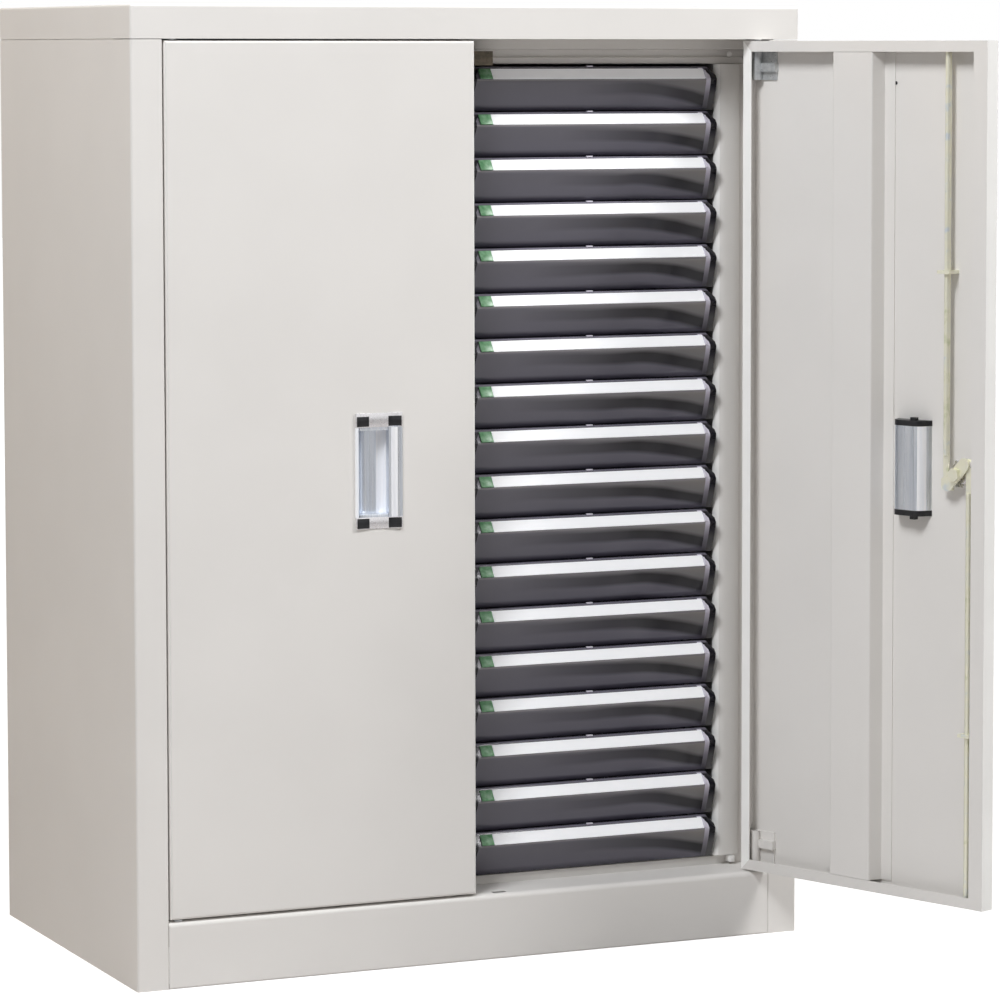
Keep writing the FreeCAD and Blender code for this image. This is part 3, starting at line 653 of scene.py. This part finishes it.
drawer_card = on_slope("drawer_card", -101.4, 116.0, low=0.3, high=11.8, thick=0.6)
drawer_tab = softened(on_slope("drawer_tab", -114.2, -101.8, low=0.4, high=11.6, thick=1.2), 0.3)
holder_end = softened(on_slope("holder_end", 116.2, 118.4, low=0.4, high=9.5, thick=1.3), 0.4)
print("card", [round(v / MM, 1) for v in drawer_card.dimensions])


# %% Nub
def box(name, low, high):
    """A square block between two corners."""
    deselect()
    bpy.ops.mesh.primitive_cube_add(size=1, location=(Vector(low) + Vector(high)) / 2 * MM)
    obj = bpy.context.object
    obj.name = name
    obj.scale = (Vector(high) - Vector(low)) * MM
    bpy.ops.object.transform_apply(location=True, rotation=True, scale=True)
    return obj


nub = softened(box("nub", (-3.0, -152.0, 40.6), (3.0, -149.0, 41.9)), 0.3)
print("nub", [round(v / MM, 1) for v in nub.dimensions])

# %% [markdown]
# The front wall takes five finishes. Both ends are thick and nearly black, and beside the right-hand one
# runs a ground band that looks pale and is painted paler towards its top, and the lip under the label has a
# painted highlight. The faces are told by how far they lie from the nearer end, and by their height.

# %% Finishes of a drawer, by the place of each face
# Heights above the underside: where the ground band ends, and where the flange, the rim and the lip start
GROUND_TO, FLANGE_FROM, RIM_FROM, LIP_FROM = 40.3, 39.5, 29.5, 27.0
# A level stretch of the path counts as rising by this much
LEAST_RISE = 0.1


def finish_faces(obj, materials, rule):
    """Gives each face the material whose number rule(centre in mm, normal) names."""
    obj.data.materials.clear()
    for material in materials:
        obj.data.materials.append(material)
    for face in obj.data.polygons:
        face.material_index = rule(face.center / MM, face.normal)


def half_width(z):
    """Half the width of the front at this height."""
    for upper, lower in zip(FRONT_PATH, FRONT_PATH[1:]):
        if z >= lower[2]:
            share = min(1.0, (z - lower[2]) / max(upper[2] - lower[2], LEAST_RISE))
            return lower[0] + share * (upper[0] - lower[0])
    return FRONT_PATH[-1][0]


def front_finish(at, normal):
    """0 smoked, 1 thick edge, 2 ground band at the right-hand end with painted light, 3 lip with a painted
    highlight, 4 rim.
    """
    from_end = half_width(at.z) - abs(at.x)
    if from_end < (END_BAND if at.x > 0 else LEFT_END_BAND):
        return 1
    if from_end < GROUND_BAND and at.x > 0:
        return 2 if at.z < GROUND_TO else 1
    if at.z > FLANGE_FROM:
        return 1
    if at.z > RIM_FROM:
        return 4
    return 3 if at.z > LIP_FROM else 0


finish_faces(drawer_front, [smoked, smoked_edge, smoked_pale, smoked_lip_painted_highlight, smoked_rim], front_finish)
for piece, material in (
    (drawer_tray, smoked_tray), (drawer_card, card_white), (drawer_tab, tab_green), (holder_end, smoked_pale),
    (nub, smoked_pale),
):
    coat(piece, material)
print("faces of the front in each finish", [
    sum(face.material_index == number for face in drawer_front.data.polygons) for number in range(5)
])


# %% Thirty-six drawers
def joined(name, *objs):
    """Joins pieces into one object; each keeps the material it has."""
    deselect()
    for obj in objs:
        obj.select_set(True)
    bpy.context.view_layer.objects.active = objs[0]
    bpy.ops.object.join()
    objs[0].name = name
    return objs[0]


def placed_copy(obj, name, shift):
    """A copy with its own mesh, moved by shift in mm, its place kept in its mesh."""
    pick(obj)
    bpy.ops.object.duplicate(linked=False)
    copy = bpy.context.object
    copy.name = name
    copy.location = Vector(shift) * MM
    bpy.ops.object.transform_apply(location=True, rotation=True, scale=True)
    return copy


drawer = joined("drawer_master", drawer_front, drawer_tray, drawer_card, drawer_tab, holder_end, nub)
for side, column_x in (("left", -COLUMN_X), ("right", COLUMN_X)):
    for row in range(ROWS):
        number = f"{side}_{ROWS - row:02d}"
        piece = placed_copy(drawer, f"moulded_drawer_{number}", (column_x, 0, row_base(row)))
        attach(piece, f"drawer_{number}")
        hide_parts(f"drawer_{number}")
print("drawers", 2 * ROWS, "with", len(drawer.data.polygons), "faces each")
pick(drawer)
bpy.ops.object.delete()

# %% [markdown]
# ## A pull
#
# Each door has a pull let into it: an aluminium extrusion with a trough for the fingers and a round grip
# along one side, closed by a cast cap at each end. An extrusion has the same section all along, so the
# section is drawn as one closed outline with its arcs, filled and pulled up. The right-hand pull is made in
# the closed door and then swung out with it.

# %% Section of the pull
def arc(centre, radius, start, stop, steps):
    """Points on an arc from start to stop, in degrees."""
    turns = [math.radians(start + (stop - start) * i / steps) for i in range(steps + 1)]
    return [(centre[0] + radius * math.cos(t), centre[1] + radius * math.sin(t)) for t in turns]


# U runs across the pull, with the grip on its negative side, and V into the door from its face
CORNER_U, CORNER_V, BOWL_R, TROUGH_R = 8.5, 5.5, 9.0, 7.3
BOWL = (
    [(-20.8, 0.2)]
    + arc((-CORNER_U, CORNER_V), BOWL_R, 180, 90, 6)
    + arc((CORNER_U, CORNER_V), BOWL_R, 90, 0, 6)
    + [(20.8, 0.2)]
)
PULL_SECTION = (
    BOWL
    + [(23.0, 0.2), (23.0, -1.0), (22.5, -1.5), (20.2, -1.5), (19.5, -0.8)]
    + arc((CORNER_U, CORNER_V), TROUGH_R, 0, 90, 6)
    + arc((-2.2, CORNER_V), TROUGH_R, 90, 180, 6)
    + [(-9.5, -0.9), (-10.1, -1.5)]
    + arc((-16.0, 1.0), 5.0, -30, -150, 10)
    + [(-22.5, -1.5), (-23.0, -1.0), (-23.0, 0.2)]
)
PULL_HALF = 41.0
# The extrusions sit a little above the middle of their openings in the doors
BODY_RISE = {-1: 2.0, 1: 3.5}
print("points of the section", len(PULL_SECTION))

# %% The extruded body
# Stretches of U whose faces get the painted highlight: the lip, the wall beside the grip, the grip's crown, a
# corner behind
LIP_U = 20.0
WALL_U, CROWN_U, CORNER_BEHIND_U = (-9.7, -0.8), (-17.0, -11.6), (-17.4, -12.0)


def across_pull(points, hand, z):
    """Turns section points into places on a closed door; hand is 1 on the right and -1 on the left."""
    return [(hand * (PULL_X + u), FRONT_Y + v, z) for u, v in points]


def painted_highlight_flank(at, normal, hand):
    """1 on the flanks with the painted highlight, 0 elsewhere."""
    u, v = hand * at.x - PULL_X, at.y - FRONT_Y
    if abs(normal.z) > 0.5:
        return 0
    if v < 0.0 and u > LIP_U:
        return 1
    if normal.y < 0 and v > 1.0 and WALL_U[0] < u < WALL_U[1]:
        return 1
    if normal.y < -0.3 and v < 1.0 and CROWN_U[0] < u < CROWN_U[1]:
        return 1
    return int(normal.y > 0 and CORNER_BEHIND_U[0] < u < CORNER_BEHIND_U[1])


def pull_body(name, hand, middle):
    """The extrusion of one pull, with its middle at this height."""
    body = outlined_bar(name, across_pull(PULL_SECTION, hand, middle - PULL_HALF), (0, 0, 2 * PULL_HALF))
    finish_faces(body, [anodised, anodised_painted_highlight], lambda at, normal: painted_highlight_flank(at, normal, hand))
    bpy.ops.object.shade_smooth_by_angle(angle=math.radians(35))
    return body


print("a pull's body is", 2 * PULL_HALF, "mm long")

# %% [markdown]
# An end cap is a hollow-fronted chromed plate with two black pads on it, which are painted dark reflections
# of the chrome, a black shoe that wraps the end of the extrusion from behind with a peg beyond it, and a plug
# that closes the trough. All are short bars across the pull, and differ in their outline and in how far from
# the body's middle they start and end.

# %% Sections of an end cap
PLATE_HALF, PLATE_BACK = 22.6, 0.9
PAD_W, PAD_BACK, PAD_PROUD = 12.4, 0.7, 0.3
# The shoe follows the bowl of the body, a little wider and further behind
SHOE_STRETCH, SHOE_BEHIND = 1.012, 0.3
PLUG_V, PLUG_R = 4.6, 8.6


def cap_front(u):
    """V of the cap's front, which stands proud of the door's face at its sides and dips in the middle."""
    return -1.9 + 1.8 * (1 - (u / PLATE_HALF) ** 2)


def dark_reflection_pad(start):
    """The outline of a black pad on the cap's front, a painted dark reflection, from start across."""
    front = [(u, cap_front(u) - PAD_PROUD) for u in (start, start + 4.0, start + 8.0, start + PAD_W)]
    return front + [(start + PAD_W, PAD_BACK), (start, PAD_BACK)]


PLATE = [(u, cap_front(u)) for u in (-PLATE_HALF, -18, -13, -8, -3, 3, 8, 13, 18, PLATE_HALF)]
PLATE += [(PLATE_HALF, PLATE_BACK), (-PLATE_HALF, PLATE_BACK)]
SHOE = [(u * SHOE_STRETCH, v + SHOE_BEHIND) for u, v in BOWL]
PEG = [(-11.0, 9.0), (-5.0, 9.0), (-5.0, 13.9), (-11.0, 13.9)]
PLUG = (
    [(-18.6, 0.1), (18.6, 0.1)]
    + arc((CORNER_U, PLUG_V), PLUG_R, 0, 90, 4)
    + arc((-CORNER_U, PLUG_V), PLUG_R, 90, 180, 4)
)
# Finish, outline, start and end; the plate reaches further at the top end (1) than at the bottom end (-1)
CAP_PIECES = {
    end: (
        (chrome, PLATE, 41.0, plate_end),
        # The two black pads are painted dark reflections on the chrome
        (black_abs, dark_reflection_pad(-21.8), 41.8, 51.0),
        (black_abs, dark_reflection_pad(9.4), 41.8, 51.0),
        (anodised, PLUG, 38.1, 43.6),
        (black_abs, SHOE, 38.6, 43.8),
        (black_abs, PEG, 43.8, 46.8),
    )
    for end, plate_end in ((-1, 51.5), (1, 54.0))
}


def pull_cap(name, hand, middle, end):
    """The pieces of one end cap."""
    pieces = []
    for number, (material, points, near, far) in enumerate(CAP_PIECES[end]):
        outline = across_pull(points, hand, middle + end * near)
        piece = outlined_bar(f"{name}_cap{number}", outline, (0, 0, end * (far - near)))
        coat(piece, material)
        pieces.append(softened(piece, 0.3))
    return pieces


print("pieces of a cap", len(CAP_PIECES[1]))

# %% The pulls
# Half the width and half the height of the opening in the door, and half the width of the body in it
OPENING_W, OPENING_H, BODY_W = 20.95, 51.95, 18.8
# How far the strips above and below it stay from its middle
BODY_ABOVE, BODY_BELOW = 42.0, 43.0
# How far behind the door's face the strips start and end
SKIN_FRONT, SKIN_BACK = 0.55, 1.0


def skin_strips(name, hand):
    """Strips of the door's skin that close its opening round the extrusion."""
    top, foot = BODY_RISE[hand] + BODY_ABOVE, BODY_RISE[hand] - BODY_BELOW
    frame_strips = (
        (-OPENING_W, top, OPENING_W, OPENING_H),
        (-OPENING_W, -OPENING_H, OPENING_W, foot),
        (-OPENING_W, foot, -BODY_W, top),
        (BODY_W, foot, OPENING_W, top),
    )
    strips = []
    for number, (u0, z0, u1, z1) in enumerate(frame_strips):
        xs = sorted((hand * (PULL_X + u0), hand * (PULL_X + u1)))
        low = (xs[0], FRONT_Y + SKIN_FRONT, PULL_Z + z0)
        strip = box(f"{name}_skin{number}", low, (xs[1], FRONT_Y + SKIN_BACK, PULL_Z + z1))
        coat(strip, powder)
        strips.append(strip)
    return strips


def pull_model(name, hand):
    """A whole pull in the closed door."""
    middle = PULL_Z + BODY_RISE[hand]
    pieces = [pull_body(name + "_body", hand, middle)]
    for end in (-1, 1):
        pieces += pull_cap(name, hand, middle, end)
    return joined(name, *pieces, *skin_strips(name, hand))


def swung(obj):
    """Turns a piece made in the closed right-hand door to where that door stands."""
    pick(obj)
    pin = Vector((PIN_X, PIN_Y, 0)) * MM
    bpy.ops.transform.rotate(value=-math.radians(RIGHT_OPEN), orient_axis="Z", center_override=pin)
    bpy.ops.object.transform_apply(location=True, rotation=True, scale=True)
    return obj


pulls = {}
for hand, side in ((-1, "left"), (1, "right")):
    pull = pull_model(f"pull_{side}_extruded", hand)
    pulls[side] = swung(pull) if side == "right" else pull
    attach(pull, f"door_{side}")
    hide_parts(f"pull_{side}")
print("faces of a pull", len(pull.data.polygons))


# %% Hold the pulls against the CAD model
def extent(obj):
    """Lowest and highest corner of a piece in mm."""
    points = [v.co / MM for v in obj.data.vertices]
    return [[round(outermost(p[i] for p in points), 1) for i in range(3)] for outermost in (min, max)]


for side, pull in pulls.items():
    solid = [[round(v / MM, 1) for v in corner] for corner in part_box(f"pull_{side}")]
    print(side, "pull", extent(pull), "and its solid", solid)

# %% [markdown]
# ## Finishes that change over a CAD piece
#
# Some CAD nodes hold parts with different finishes. A face is told by where it lies in the closed door, so
# its place is first turned back by the angle at which the door stands.

# %% Brackets, guides and door edges
# The guides of the lock rods lie between these heights, and the hinges' brackets below and above them
GUIDES_FROM, GUIDES_TO = 100.0, 800.0
# The lip beside the hinges lies beyond this X
HINGE_LIP_X = 285.0
# How near the plane of a lip or of the free edge the middle of one of its faces has to lie
LIP_NEAR, EDGE_NEAR = 0.5, 1.5
# The barrels' faces lie within this distance of the pin's axis
BARREL_R = 4.7


def closed_place(at):
    """Where a point of the open right-hand door lies when the door is closed, in mm."""
    turn = -math.radians(RIGHT_OPEN)
    x, y = at.x - PIN_X, at.y - PIN_Y
    closed_x = PIN_X + x * math.cos(turn) - y * math.sin(turn)
    closed_y = PIN_Y + x * math.sin(turn) + y * math.cos(turn)
    return Vector((closed_x, closed_y, at.z))


def fitting_finish(at, normal):
    """0 yellow zinc for the rod guides, 1 powder for the lower bracket, 2 bright zinc for the upper one."""
    if GUIDES_FROM < at.z < GUIDES_TO:
        return 0
    return 2 if at.z > GUIDES_TO else 1


def barrel_finish(at, normal):
    """1 bright zinc on the left-hand hinges' barrels, 0 powder on their brackets."""
    return int(math.hypot(at.x + PIN_X, at.y - PIN_Y) < BARREL_R)


def shell_finish(at, normal):
    """1 on the lip beside a door's hinges and on its free edge, which get the painted highlight, 0 elsewhere.
    """
    on_lip = at.y > FRONT_Y + DOOR_T - LIP_NEAR and abs(at.x) > HINGE_LIP_X
    return int(on_lip or abs(at.x) < DOOR_FREE_X + EDGE_NEAR)


finish_faces(
    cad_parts["door_shell_right"],
    [powder, powder_painted_highlight],
    lambda at, normal: shell_finish(closed_place(at), normal),
)
finish_faces(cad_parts["door_shell_left"], [powder, powder_painted_highlight], shell_finish)
finish_faces(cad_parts["door_fittings_right"], [zinc, powder, bright_zinc], fitting_finish)
finish_faces(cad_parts["door_fittings_left"], [powder, bright_zinc], barrel_finish)
for node in ("lock_cam", "lock_cylinder", "door_fittings_right"):
    places = [closed_place(face.center / MM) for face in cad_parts[node].data.polygons]
    print(node, "y from", round(min(p.y for p in places), 1), "to", round(max(p.y for p in places), 1))

# %% [markdown]
# ## Posts and small parts
#
# The sheet beside the drawers is turned out as a post. Its bend is wide, so that its side towards the drawers
# catches the light as a pale band, and that band is also painted on as a highlight. Here it is a thin cover
# with that bend, drawn as an outline and pulled up. A nylon buffer sits at its foot, a screw in the header
# above it, and a plug closes a hole in the door.

# %% Post covers
POST_SECTION = [
    # X, and how far it stands in front of the frame
    (265.3, 0.0), (265.7, 1.6), (267.2, 4.0), (269.5, 6.2), (272.2, 7.6), (275.0, 8.1), (282.0, 8.1),
    (287.5, 7.0), (290.8, 4.6), (291.4, 0.0),
]
# The covers start this far above the foot of the bank, and are this tall
POST_LIFT, POST_H = 0.5, 756.0
# The painted highlight on the bend towards the drawers ends here
BEND_TO_X = 269.5
for hand, side in ((-1, "left"), (1, "right")):
    outline = [(hand * x, FRAME_Y - proud, BANK_Z + POST_LIFT) for x, proud in POST_SECTION]
    cover = outlined_bar(f"post_cover_{side}", outline, (0, 0, POST_H))
    finish_faces(cover, [powder, powder_painted_highlight], lambda at, normal: int(abs(at.x) < BEND_TO_X))
    bpy.ops.object.shade_smooth_by_angle(angle=SMOOTH_TO)
    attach(cover, "carcass")
print("post cover", [round(v / MM, 1) for v in cover.dimensions])


# %% Buffer, screw and plug
ROUND_STEPS = 24
# Corners and middles, on the right-hand side of the cabinet
BUFFER_LOW, BUFFER_HIGH = (279.5, -154.6, 63.5), (285.5, -145.5, 69.5)
SCREW_X, SCREW_Y, SCREW_Z = 282.0, -145.4, 836.0
PLUG_PLACE = (121.5, FRONT_Y + 1.2, 810.0)


def round_block(name, centre, radius, depth):
    """A short cylinder that lies along Y."""
    deselect()
    bpy.ops.mesh.primitive_cylinder_add(
        vertices=ROUND_STEPS, radius=radius * MM, depth=depth * MM, location=Vector(centre) * MM,
        rotation=(math.radians(90), 0, 0),
    )
    obj = bpy.context.object
    obj.name = name
    bpy.ops.object.transform_apply(location=True, rotation=True, scale=True)
    return softened(obj, 0.3)


nylon, tree, shader = finish_of("nylon_white_moulded", "#F4F3F0", Roughness=0.4)
tinted(tree, shader, grain(tree, 2.0), "#F0EFEC", "#F8F7F4")
for hand, side in ((-1, "left"), (1, "right")):
    xs = sorted((hand * BUFFER_LOW[0], hand * BUFFER_HIGH[0]))
    block = box(f"door_buffer_{side}", (xs[0], *BUFFER_LOW[1:]), (xs[1], *BUFFER_HIGH[1:]))
    buffer = softened(block, 0.6)
    coat(buffer, nylon)
    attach(buffer, "carcass")
    screw = round_block(f"header_screw_{side}", (hand * SCREW_X, SCREW_Y, SCREW_Z), radius=2.6, depth=1.6)
    coat(screw, nylon)
    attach(screw, "carcass")
plug = swung(round_block("door_hole_plug", PLUG_PLACE, radius=1.6, depth=0.8))
coat(plug, black_abs)
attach(plug, "door_right")
print("plug", [round(v / MM, 1) for v in plug.dimensions])

# %% [markdown]
# ## Floor
#
# The floor is a wide pale plane. It keeps the cabinet's shadow, and for the camera it gets some of its own
# light, so that it runs into the white background. Far from the cabinet, where there is no shadow to keep,
# it gets all of it.

# %% Floor
FLOOR_M = 30
# The light it gets for the camera, at the nearer and at the further distance from the middle
GLOW_NEAR, GLOW_FAR = 0.7, 1.0
NEAR_M, FAR_M = 1.0, 4.0
deselect()
bpy.ops.mesh.primitive_plane_add(size=FLOOR_M, location=(0, 0, 0))
floor = bpy.context.object
floor.name = "studio_floor"
floor_paint, tree, shader = finish_of("studio_floor_painted_matt", "#CECBC9", Roughness=0.8)
tinted(tree, shader, grain(tree, 300.0, detail=1.0), "#CDCAC8", "#CFCCCA")
rays = add(tree, "ShaderNodeLightPath")
place = add(tree, "ShaderNodeTexCoord")
away = add(tree, "ShaderNodeVectorMath", [(0, place.outputs["Object"])], operation="LENGTH")
far = add(
    tree, "ShaderNodeMapRange", [("Value", away.outputs["Value"])],
    From_Min=NEAR_M, From_Max=FAR_M, To_Min=GLOW_NEAR, To_Max=GLOW_FAR,
)
glow = add(tree, "ShaderNodeMath", [(0, rays.outputs["Is Camera Ray"]), (1, far)], operation="MULTIPLY")
shader.inputs["Emission Color"].default_value = (1, 1, 1, 1)
tree.links.new(glow.outputs["Value"], shader.inputs["Emission Strength"])
floor.data.materials.append(floor_paint)
print("floor", FLOOR_M, "m across")

# %% [markdown]
# ## Light
#
# A white world fills the background, while much less of it lights the object. In reflections it is white
# behind and above, with black flags standing between white panels in front, as a photographer sets them
# round bright metal. Two soft lamps stand high on the left and on the right, and a weak warm one behind.

# %% White panels and black flags round the metal
# How white it is at each bearing in degrees, where 0 is straight in front and 90 on the right
FLAGS = ((-180, 1.0), (-112, 0.9), (-100, 0.65), (-60, 0.95), (-42, 0.06), (-4, 0.06), (8, 1.0), (38, 1.0),
         (52, 0.05), (98, 0.1), (112, 0.9), (180, 1.0))
# The white above starts where a ray rises by the first share of its length, and is full at the second
ABOVE_FROM, ABOVE_FULL, ABOVE_WHITE = 0.35, 0.6, 0.9

scene = bpy.context.scene
world = bpy.data.worlds.new("studio")
scene.world = world
world.use_nodes = True
sky = world.node_tree
toward = add(sky, "ShaderNodeTexCoord")
parts = add(sky, "ShaderNodeSeparateXYZ", [("Vector", toward.outputs["Generated"])])
ahead = add(sky, "ShaderNodeMath", [(0, parts.outputs["Y"]), (1, -1.0)], operation="MULTIPLY")
bearing = add(sky, "ShaderNodeMath", [(0, parts.outputs["X"]), (1, ahead)], operation="ARCTAN2")
turned = add(sky, "ShaderNodeMath", [(0, bearing), (1, 0.5 / math.pi), (2, 0.5)], operation="MULTIPLY_ADD")
flags = add(sky, "ShaderNodeValToRGB", [("Fac", turned)])
fill_ramp(flags, [((azimuth + 180) / 360, (white, white, white, 1)) for azimuth, white in FLAGS])
overhead = add(
    sky, "ShaderNodeMapRange", [("Value", parts.outputs["Z"])],
    From_Min=ABOVE_FROM, From_Max=ABOVE_FULL, To_Min=0.0, To_Max=ABOVE_WHITE,
)
room = add(sky, "ShaderNodeMath", [(0, flags), (1, overhead)], operation="MAXIMUM")
print("panels and flags", len(FLAGS))

# %% World
# How much of the white world lights the object
AMBIENT = 0.12

background = sky.nodes["Background"]
background.inputs["Color"].default_value = (1, 1, 1, 1)
rays = add(sky, "ShaderNodeLightPath")
seen = rays.outputs["Is Camera Ray"]
for other in ("Is Glossy Ray", "Is Transmission Ray"):
    seen = add(sky, "ShaderNodeMath", [(0, seen), (1, rays.outputs[other])], operation="MAXIMUM")
mirrored = add(sky, "ShaderNodeMath", [(0, rays.outputs["Is Camera Ray"]), (1, room)], operation="MAXIMUM")
level = add(
    sky, "ShaderNodeMapRange", [("Value", seen), ("To Max", mirrored)],
    From_Min=0.0, From_Max=1.0, To_Min=AMBIENT,
)
sky.links.new(level.outputs["Result"], background.inputs["Strength"])
print("world", world.name, "lights the object at", AMBIENT)

# %% Lamps
AIM = Vector((0, -0.17, 0.48))
LAMP_M = 3.0


def soft_lamp(name, azimuth, elevation, size, watts, colour):
    """An area lamp LAMP_M from AIM; azimuth 0 is straight in front, 90 on the right."""
    turn, rise = math.radians(azimuth), math.radians(elevation)
    away = Vector((math.sin(turn) * math.cos(rise), -math.cos(turn) * math.cos(rise), math.sin(rise)))
    deselect()
    bpy.ops.object.light_add(type="AREA", location=AIM + away * LAMP_M)
    lamp = bpy.context.object
    lamp.name = name
    lamp.rotation_euler = away.to_track_quat("Z", "Y").to_euler()
    lamp.data.size = size
    lamp.data.energy = watts
    lamp.data.color = linear(colour)[:3]
    print(name, [round(v, 2) for v in lamp.location])


soft_lamp("key_softbox_left", -50, 50, size=0.9, watts=68, colour="#FAFCFF")
soft_lamp("softbox_right", 56, 45, size=0.8, watts=62, colour="#FFFFFF")
soft_lamp("warm_fill_behind", -140, 30, size=1.5, watts=11, colour="#FFD28A")

# %% [markdown]
# ## Camera
#
# The lens, the place and the small shift come from fitting the corners of the casing and of the doors.

# %% Camera
camera_data = bpy.data.cameras.new("camera")
camera = bpy.data.objects.new("camera", camera_data)
scene.collection.objects.link(camera)
camera.location = (-1.5592, -3.8538, 0.8395)
camera.rotation_euler = [math.radians(a) for a in (85.501, 0.0, -24.715)]
camera_data.sensor_width = 36
camera_data.lens = 156.79
camera_data.shift_x = -0.1003
camera_data.shift_y = -0.1068
camera_data.clip_end = 100
scene.camera = camera
scene.view_settings.view_transform = "Standard"
print("lens", round(camera_data.lens, 1), "mm, camera at", [round(v, 2) for v in camera.location])
